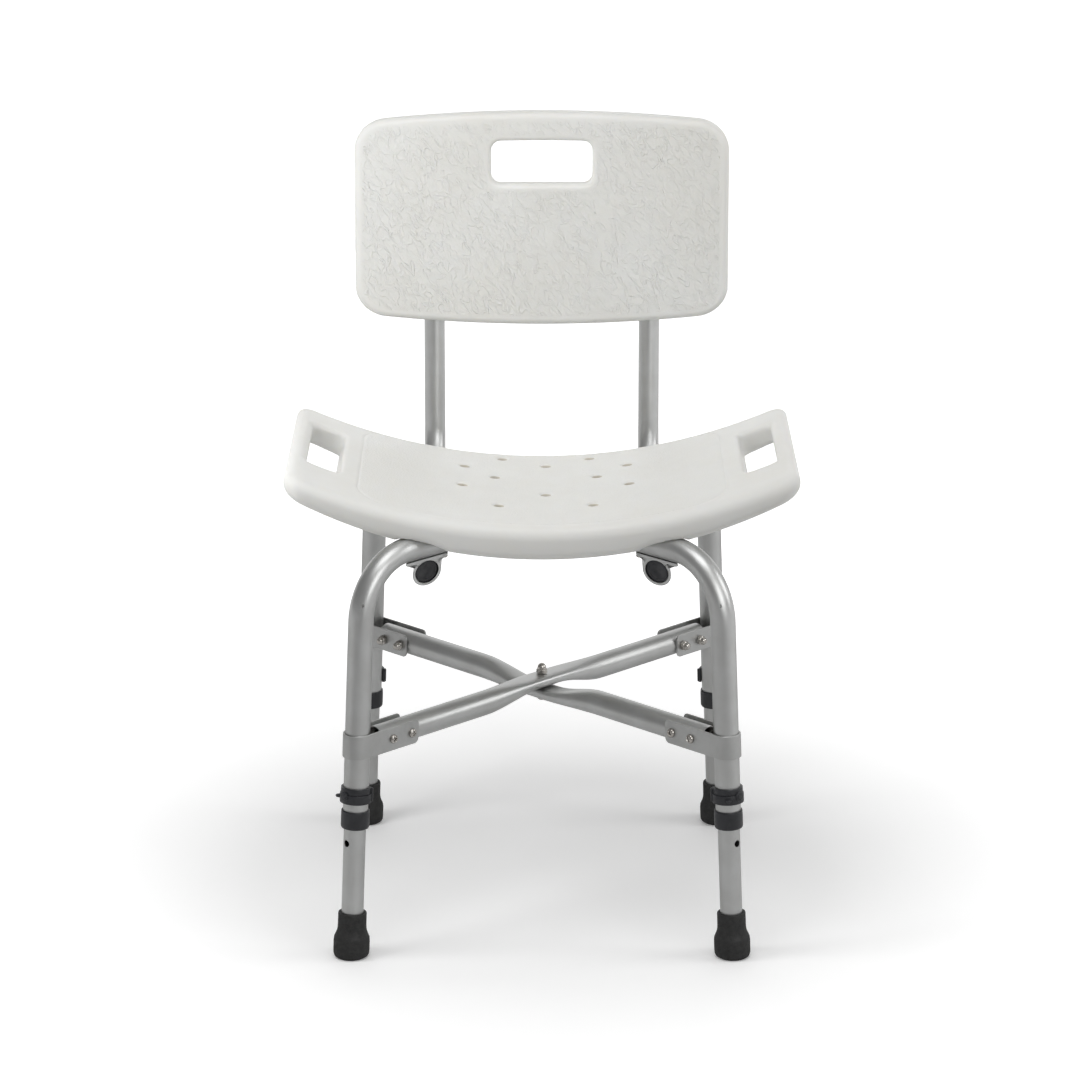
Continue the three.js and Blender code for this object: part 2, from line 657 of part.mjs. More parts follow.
function panelOutline() {
  const half = PANEL_WIDTH / 2;
  const flank = PANEL_HEIGHT / 2 - PANEL_CROWN;
  const crownEnd = half - PANEL_CORNER;
  const quarter = [];
  for (let i = 0; i <= 4; i++) {
    const x = (crownEnd * i) / 4;
    quarter.push([x, flank + PANEL_CROWN * (1 - (x / half) ** 2)]);
  }
  const shoulder = quarter.at(-1)[1];
  for (const degrees of [65, 45, 25, 0]) {
    const angle = radians(degrees);
    quarter.push([
      crownEnd + PANEL_CORNER * Math.cos(angle),
      shoulder - PANEL_CORNER + PANEL_CORNER * Math.sin(angle),
    ]);
  }
  const lowerRight = quarter.map(([x, z]) => [x, -z]).reverse();
  const right = [...quarter, ...lowerRight];
  const left = right.slice(1, -1).reverse().map(([x, z]) => [-x, z]);
  return new THREE.Shape([...right, ...left].reverse().map(([x, z]) => new THREE.Vector2(x, z)));
}

function backrest() {
  const shape = panelOutline();
  const slotZ = PANEL_HEIGHT / 2 - HAND_SLOT.top - HAND_SLOT.height / 2;
  const { width, height, corner } = HAND_SLOT;
  shape.holes.push(roundedRectangle(width, height, corner, 0, slotZ, new THREE.Path()));
  const panel = new THREE.ExtrudeGeometry(shape, {
    depth: PANEL_THICKNESS - 2 * PANEL_EDGE,
    bevelThickness: PANEL_EDGE,
    bevelSize: PANEL_EDGE,
    bevelOffset: -PANEL_EDGE,
    bevelSegments: 2,
    curveSegments: 3,
  });
  panel.rotateX(Math.PI / 2);
  panel.translate(0, PANEL_FRONT + PANEL_THICKNESS - PANEL_EDGE, PANEL_BOTTOM + PANEL_HEIGHT / 2);
  const tools = [];
  const screwEnd = SOCKET_RADIUS + 2;
  for (const side of [-1, 1]) {
    const x = side * SLEEVE_X;
    const socket = rod(SOCKET_RADIUS, PANEL_BOTTOM / 2, UPRIGHT_LENGTH + GAP, TUBE_SIDES);
    tools.push(socket.translate(x, 0, 0));
    for (const z of Object.values(BACK_SCREW_HEIGHTS))
      tools.push(crossHole(SCREW_M5, x, z, -DRILL_REACH, screwEnd));
  }
  return cut(panel, tools);
}

// A folded leaf spring inside the back tube whose button stands out through the sleeve.
function snapButton() {
  const leaf = 0.8;
  const [low, high] = [-9, 8.1];
  const reach = 42;
  const standProud = 2;
  const side = new THREE.Shape();
  side.moveTo(6, low);
  side.lineTo(6, low + leaf);
  side.lineTo(-reach, low + leaf + 1);
  side.lineTo(-reach - 5, 0);
  side.lineTo(-reach, high - leaf);
  side.lineTo(0, high);
  side.lineTo(0, high + leaf);
  side.lineTo(-reach, high);
  side.lineTo(-reach - 6, 0);
  side.lineTo(-reach, low + 1);
  const spring = prism(side, -3, 3).rotateX(Math.PI / 2).rotateZ(Math.PI / 2);
  const button = rod(BUTTON_RADIUS, -SLEEVE_RADIUS - standProud, low + leaf / 2);
  return join([spring, button]).translate(0, BUTTON_Y, SLEEVE_Z);
}

const back = groupIn(chair, (group) => {
  group.applyMatrix4(backPlace);
});
add(back, "backrest", backrest(), WHITE_PLASTIC);
for (const [name, side] of [["left", -1], ["right", 1]]) {
  const x = side * SLEEVE_X;
  add(chair, `back_sleeve_${name}`, sleeve(side), SATIN_ALUMINIUM);
  add(chair, `sleeve_plug_${name}`, sleevePlug(side), BLACK_PLASTIC);
  add(chair, `back_tube_${name}`, backTube(), SATIN_ALUMINIUM).position.x = x;
  add(chair, `snap_button_${name}`, snapButton(), STAINLESS).position.x = x;
  for (const [place, z] of Object.entries(BACK_SCREW_HEIGHTS)) {
    const headFace = PANEL_FRONT + PANEL_THICKNESS + GAP;
    const bolt = screw(SCREW_M5, headFace + BACK_TUBE_RADIUS).rotateX(-Math.PI / 2);
    add(back, `backrest_screw_${name}_${place}`, bolt, STAINLESS).position.set(x, headFace, z);
  }
}

// Puts the origin in the middle of the outline, on the floor.
const outline = new THREE.Box3().setFromObject(chair, true);
chair.position.y = -(outline.min.y + outline.max.y) / 2;

export default chair;
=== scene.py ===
"""Shower chair: looks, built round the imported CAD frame. Lengths are in millimetres, except the studio's."""
import math

import bpy
import numpy as np
from mathutils import Matrix, Vector
from mathutils.geometry import delaunay_2d_cdt


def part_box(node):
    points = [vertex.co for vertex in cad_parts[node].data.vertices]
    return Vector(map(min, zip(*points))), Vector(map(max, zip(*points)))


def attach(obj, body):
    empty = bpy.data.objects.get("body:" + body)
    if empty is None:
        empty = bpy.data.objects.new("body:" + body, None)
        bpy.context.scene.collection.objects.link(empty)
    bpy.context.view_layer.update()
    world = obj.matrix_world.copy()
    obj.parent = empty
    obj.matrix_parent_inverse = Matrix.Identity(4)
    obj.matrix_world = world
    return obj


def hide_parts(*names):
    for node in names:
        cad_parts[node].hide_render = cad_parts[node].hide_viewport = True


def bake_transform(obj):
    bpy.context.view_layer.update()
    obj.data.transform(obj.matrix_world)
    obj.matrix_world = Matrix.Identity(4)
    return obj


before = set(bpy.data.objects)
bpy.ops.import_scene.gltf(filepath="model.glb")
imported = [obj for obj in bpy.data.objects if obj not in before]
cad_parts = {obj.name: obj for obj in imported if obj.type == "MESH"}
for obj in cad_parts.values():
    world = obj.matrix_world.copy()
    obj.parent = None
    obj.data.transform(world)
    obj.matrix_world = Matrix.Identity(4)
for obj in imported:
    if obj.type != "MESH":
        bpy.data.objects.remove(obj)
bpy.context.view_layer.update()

MM = 0.001
CORNERS = {"front_left": 225, "front_right": 315, "rear_right": 45, "rear_left": 135}
HEAD_SIDE = {"front_left": 1, "front_right": -1, "rear_right": 1, "rear_left": -1}
SIDES = {"left": -1, "right": 1}


# ---------------------------------------------------------------- places, read from the frame
def at(x, y, z):
    return Matrix.Translation((x, y, z))


def turn(angle, axis):
    return Matrix.Rotation(angle, 4, axis)


def centre_of(node):
    low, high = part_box(node)
    return (np.array(low) + np.array(high)) / 2 / MM


FEET = {name: centre_of(f"foot_{name}") for name in CORNERS}
MIDDLE_Y = float(np.mean([place[1] for place in FEET.values()]))
FOOT_SPREAD = float(np.mean([abs(place[0]) for place in FEET.values()]))
ORIGIN = at(0, MIDDLE_Y, 0)
LEG_LEAN = math.radians(3.13)
FOOT_REACH = FOOT_SPREAD * math.sqrt(2)

GAP = 0.3
TUBE_RADIUS = 12.7
TUBE_WALL = 1.2
ARCH_BORE = 195
BRACE_BORE = 60
ARCH_Z = 412.5
BEND_RADIUS = 63.5
OUTER_TUBE_END = 141.5
BEND_MARK_Z = 371
FLAT_HEIGHT = 12.2
FLAT_WIDTH_FACTOR = 1.12
FLAT_SQUARENESS = 0.9
FLAT_HALF_LENGTH = 14
FLAT_RUN_OUT = 72
BRACE_Z = float(centre_of("cross_brace_upper")[2] + centre_of("cross_brace_lower")[2]) / 2
BRACE_END = 238
BRACKET_SCREWS = {"outer": 226, "inner": 200}


def corner_place(name):
    """From a diagonal's frame, +X outward, to the chair's."""
    return ORIGIN @ turn(math.radians(CORNERS[name]), "Z")


def leg_place(name):
    """From a leg's own frame, origin on the floor and +Z up the leg, to the chair's."""
    lean = turn(-LEG_LEAN, "Y")
    return corner_place(name) @ at(FOOT_REACH, 0, 0) @ lean


# ---------------------------------------------------------------- mesh helpers
FINISHES = {}


def add_object(name, data):
    added = bpy.data.objects.new(name, data)
    bpy.context.scene.collection.objects.link(added)
    return added


def new_piece(node, verts, faces, finish, body, place=None, sharp=35.0, uvs=None):
    """A smooth mesh from millimetre vertices, in the place of a CAD node and riding on a body, if given."""
    name = f"{node}_look"
    mesh = bpy.data.meshes.new(name)
    points = np.asarray(verts, dtype=float)
    if place is not None:
        matrix = np.array(place)
        points = points @ matrix[:3, :3].T + matrix[:3, 3]
    mesh.from_pydata((points * MM).tolist(), [], [list(face) for face in faces])
    mesh.update()
    if uvs is not None:
        layer = mesh.uv_layers.new(name="length")
        for loop in mesh.loops:
            layer.data[loop.index].uv = uvs[loop.vertex_index]
    for polygon in mesh.polygons:
        polygon.use_smooth = True
    mesh.set_sharp_from_angle(angle=math.radians(sharp))
    mesh.materials.append(FINISHES[finish])
    piece = add_object(name, mesh)
    if body:
        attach(piece, body)
    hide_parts(node)
    return piece


def flex(piece):
    """Bakes the piece's place into its mesh."""
    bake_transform(piece)


def grid_faces(rows, columns):
    """Quads over a grid of rows of vertices, each row closed."""
    faces = []
    for i in range(rows - 1):
        for j in range(columns):
            k = (j + 1) % columns
            faces.append((i * columns + j, i * columns + k, (i + 1) * columns + k, (i + 1) * columns + j))
    return faces


def end_caps(verts, count):
    """The first and the last count vertices, each as one face."""
    return [tuple(range(count - 1, -1, -1)), tuple(range(len(verts) - count, len(verts)))]


def turned(profile, sides=48):
    """Vertices and faces of a shape turned about +Z from (radius, z) points, ends closed on the axis."""
    rings = [(r, z) for r, z in profile if r > 1e-6]
    verts = [
        (r * math.cos(2 * math.pi * j / sides), r * math.sin(2 * math.pi * j / sides), z)
        for r, z in rings
        for j in range(sides)
    ]
    faces = grid_faces(len(rings), sides)
    closed = profile[0] == profile[-1]
    if closed:
        return verts[: -sides], [tuple(v % ((len(rings) - 1) * sides) for v in face) for face in faces]
    for index, ring, flip in ((0, 0, True), (-1, len(rings) - 1, False)):
        if profile[index][0] > 1e-6:
            continue
        verts.append((0, 0, profile[index][1]))
        tip = len(verts) - 1
        for j in range(sides):
            a, b = ring * sides + j, ring * sides + (j + 1) % sides
            faces.append((b, a, tip) if flip else (a, b, tip))
    return verts, faces


def merged(*parts):
    """Several (verts, faces) as one."""
    verts, faces = [], []
    for part_verts, part_faces in parts:
        offset = len(verts)
        verts += [tuple(v) for v in part_verts]
        faces += [tuple(i + offset for i in face) for face in part_faces]
    return verts, faces


def moved(part, matrix):
    verts, faces = part
    return [tuple(matrix @ Vector(v)) for v in verts], faces


# ---------------------------------------------------------------- swept tubes
def smoothstep(low, high, value):
    t = np.clip((value - low) / (high - low), 0, 1)
    return t * t * (3 - 2 * t)


class Station:
    """One ring of a tube: where it is, which way the tube runs, and how its section differs from round."""

    def __init__(self, point, direction, across=1.0, along=1.0, shift=0.0, square=0.0):
        self.point = Vector(point)
        self.direction = Vector(direction).normalized()
        self.across = across
        self.along = along
        self.shift = shift
        self.power = 2 / (2 + square)

    def section(self, angle):
        """A point of the unit section, across and along, at this angle round it."""
        c, s = math.cos(angle), math.sin(angle)
        return (
            self.across * math.copysign(abs(c) ** self.power, c),
            self.along * math.copysign(abs(s) ** self.power, s),
        )


def tube_mesh(stations, plane_normal, radius, wall, bore, sides=48):
    """A tube through the stations, whose path lies in one plane. It is open for a depth of bore at both ends,
    or right through, on a straight tube, if bore is None."""
    normal = Vector(plane_normal)
    lengths = [0.0]
    for a, b in zip(stations, stations[1:]):
        lengths.append(lengths[-1] + (b.point - a.point).length)
    lip = min(0.35, wall / 3)

    def inset(index, depth, r):
        station = stations[index]
        sign = 1 if index == 0 else -1
        return station, station.point + station.direction * depth * sign, r, lengths[index] + sign * depth

    rings = [] if bore is None else [inset(0, bore, radius - wall)]
    rings += [inset(0, lip, radius - wall), inset(0, 0, radius - wall + lip)]
    rings += [inset(0, 0, radius - lip), inset(0, lip, radius)]
    rings += [(s, s.point, radius, l) for s, l in list(zip(stations, lengths))[1:-1]]
    rings += [inset(-1, lip, radius), inset(-1, 0, radius - lip)]
    rings += [inset(-1, 0, radius - wall + lip), inset(-1, lip, radius - wall)]
    if bore is None:
        rings.append(rings[0])
    else:
        rings.append(inset(-1, bore, radius - wall))
    verts, uvs = [], []
    for station, point, r, length in rings:
        up = normal.cross(station.direction)
        for j in range(sides):
            a, b = station.section(2 * math.pi * j / sides)
            offset = normal * (r * a) + up * (r * b)
            verts.append(tuple(point + offset + up * station.shift))
            uvs.append((j / sides, length / 100))
    faces = [face[::-1] for face in grid_faces(len(rings), sides)]
    last = (len(rings) - 1) * sides
    if bore is None:
        faces = [tuple(v % last for v in face) for face in faces]
        return verts[:last], faces, uvs[:last]
    faces.append(tuple(range(sides)))
    faces.append(tuple(range(last + sides - 1, last - 1, -1)))
    return verts, faces, uvs


def flat_station(x, z, side):
    """A station of a straight tube along X that is pressed flat round x = 0."""
    amount = 1 - float(smoothstep(FLAT_HALF_LENGTH, FLAT_HALF_LENGTH + FLAT_RUN_OUT, abs(x)))
    flat = FLAT_HEIGHT / (2 * TUBE_RADIUS)
    along = 1 - amount * (1 - flat)
    across = 1 + amount * (FLAT_WIDTH_FACTOR - 1)
    shift = -side * amount * (FLAT_HEIGHT / 2 + GAP / 2)
    return Station((x, 0, z), (1, 0, 0), across, along, shift, FLAT_SQUARENESS * amount)


def arch_stations(side):
    bend_z = ARCH_Z - BEND_RADIUS
    bend_x = FOOT_REACH - (BEND_RADIUS + bend_z * math.sin(LEG_LEAN)) / math.cos(LEG_LEAN)
    half = [flat_station(x, ARCH_Z, side) for x in np.linspace(0, FLAT_HALF_LENGTH + FLAT_RUN_OUT, 22)[1:]]
    half += [Station((x, 0, ARCH_Z), (1, 0, 0)) for x in np.linspace(90, bend_x - 10, 8)]
    steps = 28
    for i in range(steps + 1):
        angle = math.pi / 2 + (i / steps) * (LEG_LEAN - math.pi / 2)
        c, s = math.cos(angle), math.sin(angle)
        squeeze = max(math.sin(math.pi * i / steps), 0) ** 0.6
        half.append(
            Station(
                (bend_x + BEND_RADIUS * c, 0, bend_z + BEND_RADIUS * s),
                (s, 0, -c),
                across=1 + 0.02 * squeeze,
                along=1 - 0.07 * squeeze,
            )
        )
    down = Vector((math.sin(LEG_LEAN), 0, -math.cos(LEG_LEAN)))
    foot = Vector((FOOT_REACH, 0, 0))
    top = (half[-1].point - foot).length
    for z in np.linspace(top - 8, OUTER_TUBE_END, 14):
        half.append(Station(foot - down * float(z), down))
    mirrored = [
        Station((-s.point.x, 0, s.point.z), (s.direction.x, 0, -s.direction.z), s.across, s.along, s.shift)
        for s in reversed(half)
    ]
    return mirrored + [flat_station(0, ARCH_Z, side)] + half


def bend_mark(side):
    """A small upright dent in the front of a front leg, at the start of its bend."""
    angle = math.asin((BEND_MARK_Z - ARCH_Z + BEND_RADIUS) / BEND_RADIUS)
    bend_x = FOOT_REACH - (BEND_RADIUS + (ARCH_Z - BEND_RADIUS) * math.sin(LEG_LEAN)) / math.cos(LEG_LEAN)
    x = (bend_x + BEND_RADIUS * math.cos(angle)) / math.sqrt(2)
    place = ORIGIN @ at(side * x, -x - TUBE_RADIUS + 2.6, BEND_MARK_Z)
    place = place @ turn(math.pi / 2, "X") @ Matrix.Diagonal((1, 2.1, 1, 1))
    return drill(0.95, 0, 6, place, 20)


def build_tubes():
    for level, side, corner in (("upper", 1, "rear_right"), ("lower", -1, "rear_left")):
        place = corner_place(corner)
        verts, faces, uvs = tube_mesh(arch_stations(side), (0, 1, 0), TUBE_RADIUS, TUBE_WALL, ARCH_BORE)
        name = f"arch_tube_{level}"
        arch = new_piece(name, verts, faces, "aluminium", "frame", place, uvs=uvs)
        ends = [c for c, angle in CORNERS.items() if (angle - CORNERS[corner]) % 180 == 0]
        pin_holes = [
            drill(HOLE_RADIUS, 6, 20, leg_place(end) @ at(0, 0, PIN_Z) @ TO_OUTSIDE, 28)
            for end in ends
        ]
        cut(arch, *pin_holes, bend_mark(-side))
        outer = np.linspace(90, BRACE_END, 8)
        xs = [*(-outer[::-1]), *np.linspace(-80, 80, 61), *outer]
        stations = [flat_station(float(x), BRACE_Z, side) for x in xs]
        verts, faces, uvs = tube_mesh(stations, (0, 1, 0), TUBE_RADIUS, TUBE_WALL, BRACE_BORE)
        name = f"cross_brace_{level}"
        new_piece(name, verts, faces, "aluminium", "frame", place, uvs=uvs)


# ---------------------------------------------------------------- cutting
def cut(piece, *tools):
    """Cuts closed (verts, faces) tools, in the chair's millimetres, out of a piece."""
    verts, faces = merged(*tools)
    mesh = bpy.data.meshes.new("tool")
    mesh.from_pydata([tuple(c * MM for c in v) for v in verts], [], faces)
    tool = add_object("tool", mesh)
    modifier = piece.modifiers.new("cut", "BOOLEAN")
    modifier.object = tool
    modifier.operation = "DIFFERENCE"
    modifier.solver = "EXACT"
    modifier.use_self = True
    graph = bpy.context.evaluated_depsgraph_get()
    result = bpy.data.meshes.new_from_object(piece.evaluated_get(graph))
    piece.modifiers.clear()
    old = piece.data
    piece.data = result
    result.name = old.name + "_cut"
    bpy.data.meshes.remove(old)
    bpy.data.objects.remove(tool)
    bpy.data.meshes.remove(mesh)
    for polygon in result.polygons:
        polygon.use_smooth = True
    result.set_sharp_from_angle(angle=math.radians(35))


def drill(radius, low, high, place, sides=32):
    return moved(turned([(0, low), (radius, low), (radius, high), (0, high)], sides), place)


# ---------------------------------------------------------------- moulded panels
MESH_SPACING = 4.2


class Rounded:
    """A rounded rectangle in plan, with its middle at x, y."""

    def __init__(self, half_x, half_y, corner, x=0.0, y=0.0):
        self.half_x, self.half_y, self.corner = half_x, half_y, corner
        self.x, self.y = x, y

    def distance(self, x, y):
        """Signed distance to the outline, negative inside."""
        qx = np.abs(x - self.x) - self.half_x + self.corner
        qy = np.abs(y - self.y) - self.half_y + self.corner
        outside = np.hypot(np.maximum(qx, 0), np.maximum(qy, 0))
        return outside + np.minimum(np.maximum(qx, qy), 0) - self.corner

    def loop(self, grow=0.0, x=None):
        """Evenly spaced points round the outline, grown by grow, counter-clockwise. x is another middle."""
        hx, hy, r = self.half_x + grow, self.half_y + grow, max(self.corner + grow, 0.3)
        points = []
        corners = ((hx - r, r - hy, -90), (hx - r, hy - r, 0), (r - hx, hy - r, 90), (r - hx, r - hy, 180))
        arc_steps = max(3, int(round(self.corner * math.pi / 2 / MESH_SPACING)) + 1)
        for i, (cx, cy, start) in enumerate(corners):
            for k in range(arc_steps):
                a = math.radians(start + 90 * k / (arc_steps - 1))
                points.append((cx + r * math.cos(a), cy + r * math.sin(a)))
            nx, ny, next_start = corners[(i + 1) % 4]
            b = math.radians(next_start)
            end = (nx + r * math.cos(b), ny + r * math.sin(b))
            a = points[-1]
            straight = 2 * (self.half_x if i % 2 else self.half_y) - 2 * self.corner
            count = max(1, int(round(straight / MESH_SPACING)))
            for t in (k / count for k in range(1, count)):
                points.append((a[0] + (end[0] - a[0]) * t, a[1] + (end[1] - a[1]) * t))
        middle_x = self.x if x is None else x
        return [(px + middle_x, py + self.y) for px, py in points]


def circle_loop(x, y, radius, count=20):
    return [
        (x + radius * math.cos(2 * math.pi * k / count), y + radius * math.sin(2 * math.pi * k / count))
        for k in range(count)
    ]


def inside(points, loop):
    """Which of the points are inside a closed loop."""
    xs, ys = np.array(loop).T
    px, py = points[:, 0][:, None], points[:, 1][:, None]
    x2, y2 = np.roll(xs, -1), np.roll(ys, -1)
    with np.errstate(divide="ignore", invalid="ignore"):
        crosses = ((ys > py) != (y2 > py)) & (px < (x2 - xs) * (py - ys) / (y2 - ys) + xs)
    return crosses.sum(axis=1) % 2 == 1


def flat_mesh(outline, holes, inner_loops, lines, clear, spacing=MESH_SPACING):
    """Triangles in plan, inside the outline and outside the holes, with edges along every loop and line."""
    points, edges = [], []

    def add(path, closed):
        start = len(points)
        points.extend(path)
        count = len(path)
        for k in range(count if closed else count - 1):
            edges.append((start + k, start + (k + 1) % count))

    for loop in [outline, *holes, *inner_loops]:
        add(loop, True)
    for line in lines:
        add(line, False)
    fixed = np.array(points)
    low, high = np.array(outline).min(0), np.array(outline).max(0)
    xs = np.arange(low[0] + spacing / 2, high[0], spacing)
    ys = np.arange(low[1] + spacing / 2, high[1], spacing * 0.866)
    grid = np.array([(x + (spacing / 2 if j % 2 else 0), y) for j, y in enumerate(ys) for x in xs])
    keep = inside(grid, outline)
    for hole in holes:
        keep &= ~inside(grid, hole)
    grid = grid[keep]
    near = np.empty(len(grid))
    for start in range(0, len(grid), 2000):
        part = grid[start : start + 2000]
        near[start : start + 2000] = np.hypot(
            part[:, 0][:, None] - fixed[:, 0], part[:, 1][:, None] - fixed[:, 1]
        ).min(1)
    grid = grid[near > clear]
    every = [Vector(p) for p in points] + [Vector(p) for p in grid]
    verts, _, triangles, *_ = delaunay_2d_cdt(every, edges, [], 0, 1e-4)
    plan = np.array([tuple(v) for v in verts])
    triangles = np.array([tuple(t) for t in triangles])
    middles = plan[triangles].mean(axis=1)
    keep = inside(middles, outline)
    for hole in holes:
        keep &= ~inside(middles, hole)
    triangles = triangles[keep]
    a, b, c = (plan[triangles[:, k]] for k in range(3))
    area = (b[:, 0] - a[:, 0]) * (c[:, 1] - a[:, 1]) - (b[:, 1] - a[:, 1]) * (c[:, 0] - a[:, 0])
    triangles[area < 0] = triangles[area < 0][:, ::-1]
    return plan, triangles[np.abs(area) > 1e-7]


def loop_indices(plan, loop):
    """The vertices of a flat mesh that lie at a loop's points."""
    return [int(np.argmin(np.hypot(plan[:, 0] - x, plan[:, 1] - y))) for x, y in loop]


def shell(top, bottom, top_height, bottom_height, walls):
    """Closes two flat meshes into one body. Heights are functions of plan points. Each wall joins a loop of
    the top to a loop of the bottom, which has as many points."""
    top_plan, top_faces = top
    bottom_plan, bottom_faces = bottom
    top_z = top_height(top_plan[:, 0], top_plan[:, 1])
    bottom_z = bottom_height(bottom_plan[:, 0], bottom_plan[:, 1])
    verts = [tuple(v) for v in np.column_stack([top_plan, top_z])]
    offset = len(verts)
    verts += [tuple(v) for v in np.column_stack([bottom_plan, bottom_z])]
    faces = [tuple(f) for f in top_faces] + [tuple(offset + i for i in f[::-1]) for f in bottom_faces]
    for loop, loop_below, outward, rings in walls:
        upper = loop_indices(top_plan, loop)
        lower = [offset + i for i in loop_indices(bottom_plan, loop_below)]
        rows = [lower]
        for k in range(1, rings):
            start = len(verts)
            for a, b in zip(lower, upper):
                t = k / rings
                verts.append(tuple(np.array(verts[a]) * (1 - t) + np.array(verts[b]) * t))
            rows.append(list(range(start, start + len(loop))))
        rows.append(upper)
        for row, above in zip(rows, rows[1:]):
            for j in range(len(loop)):
                k = (j + 1) % len(loop)
                face = (row[j], row[k], above[k], above[j])
                faces.append(face if outward else face[::-1])
    return verts, faces


def edge_drop(depth, radius):
    """How far a rounded edge has fallen at this depth in from the outline."""
    inner = np.clip(radius - depth, 0, radius)
    return radius - np.sqrt(np.maximum(radius * radius - inner * inner, 0))


def edge_depths(radius, steps):
    return [radius * (1 - math.cos(math.pi / 2 * k / steps)) for k in range(1, steps + 1)]


# ---------------------------------------------------------------- seat
SEAT_PLAN = Rounded(258.5, 142, 20)
SEAT_TOP = (436, 606)
SEAT_BOTTOM = (402, 530)
SEAT_TOP_EDGE = 14
SEAT_BOTTOM_EDGE = 8.5
HANDLE_SLOT = Rounded(16.5, 73.5, 8, 222.5, 13.5)
SLOT_LIP = 6
SLOT_LEAN = 6
NOTCH = {"x": 117, "half": 25, "depth": 5, "run": 34}
DRAIN_HOLES = ((46, 114), (0, 91), (85, 74), (53, 43), (86, 3), (0, -16.5), (48, -60.5))
DRAIN_SHIFT = 4.3
DRAIN_RADIUS = 4.4
DRAIN_DISH = 8.4
DRAIN_DISH_DEPTH = 2.6
TEXTURE_PANEL = Rounded(186, 131, 38, 0, 6)
GROOVE_LINES = (4, 8, 11, 12.6, 14.2, 15.8, 17.4, 20.6)
GROOVE_HALF_WIDTH = 1.5
GROOVE_DEPTH = 0.7


def seat_arc(x, surface):
    base, radius = surface
    return base + radius - np.sqrt(radius * radius - x * x)


def seat_holes():
    return [(side * x + DRAIN_SHIFT, y) for x, y in DRAIN_HOLES for side in ((-1, 1) if x else (1,))]


def seat_top_height(x, y):
    z = seat_arc(x, SEAT_TOP)
    z -= edge_drop(-SEAT_PLAN.distance(x, y), SEAT_TOP_EDGE)
    z -= edge_drop(HANDLE_SLOT.distance(np.abs(x), y), SLOT_LIP)
    for hole_x, hole_y in seat_holes():
        away = np.hypot(x - hole_x, y - hole_y)
        fall = np.clip((DRAIN_DISH - away) / (DRAIN_DISH - DRAIN_RADIUS), 0, 1)
        z -= DRAIN_DISH_DEPTH * fall**2
    border = np.abs(TEXTURE_PANEL.distance(x, y))
    z -= GROOVE_DEPTH * (1 - smoothstep(0, GROOVE_HALF_WIDTH, border))
    return z


def arch_groove(along, across):
    """Ceiling of the groove that an arch lies in, and how much of the seat's underside it takes, 0 to 1."""
    wide = 1 - smoothstep(FLAT_HALF_LENGTH + 30, FLAT_HALF_LENGTH + FLAT_RUN_OUT + 8, np.abs(along))
    half = 13.1 + wide * 1.6
    level = np.clip(np.abs(across) / half, 0, 1)
    ceiling = ARCH_Z + 13.2 * (1 - level ** (2 + 2 * wide)) ** 0.5
    share = 1 - smoothstep(half - 0.6, half + 3.4, np.abs(across))
    return np.maximum(ceiling, ARCH_Z + 3), share


def seat_bottom_height(x, y):
    z = seat_arc(x, SEAT_BOTTOM)
    z += edge_drop(-SEAT_PLAN.distance(x, y), SEAT_BOTTOM_EDGE)
    z += edge_drop(HANDLE_SLOT.distance(np.abs(x) - SLOT_LEAN, y), SLOT_LIP)
    level = np.clip(np.abs(np.abs(x) - NOTCH["x"]) / NOTCH["half"], 0, 1)
    near_front = smoothstep(0, NOTCH["run"], -y - SEAT_PLAN.half_y + NOTCH["run"])
    z += NOTCH["depth"] * (1 - level**2) ** 1.5 * near_front
    for sign in (-1, 1):
        along, across = (x + sign * y) / math.sqrt(2), (y - sign * x) / math.sqrt(2)
        ceiling, share = arch_groove(along, across)
        z = np.maximum(z, z * (1 - share) + np.maximum(ceiling, z) * share)
    return z


def diagonal_lines(offsets, step):
    """Lines along both diagonals at these distances from them, inside the seat."""
    reach = SEAT_PLAN.half_y
    lines = []
    for sign in (-1, 1):
        for offset in offsets:
            run = [
                ((s - sign * offset) / math.sqrt(2), (sign * s + offset) / math.sqrt(2))
                for s in np.arange(-reach * 1.5, reach * 1.5, step)
            ]
            lines.append([(x, y) for x, y in run if abs(x) < SEAT_PLAN.half_x - 2 and abs(y) < reach - 0.6])
    return lines


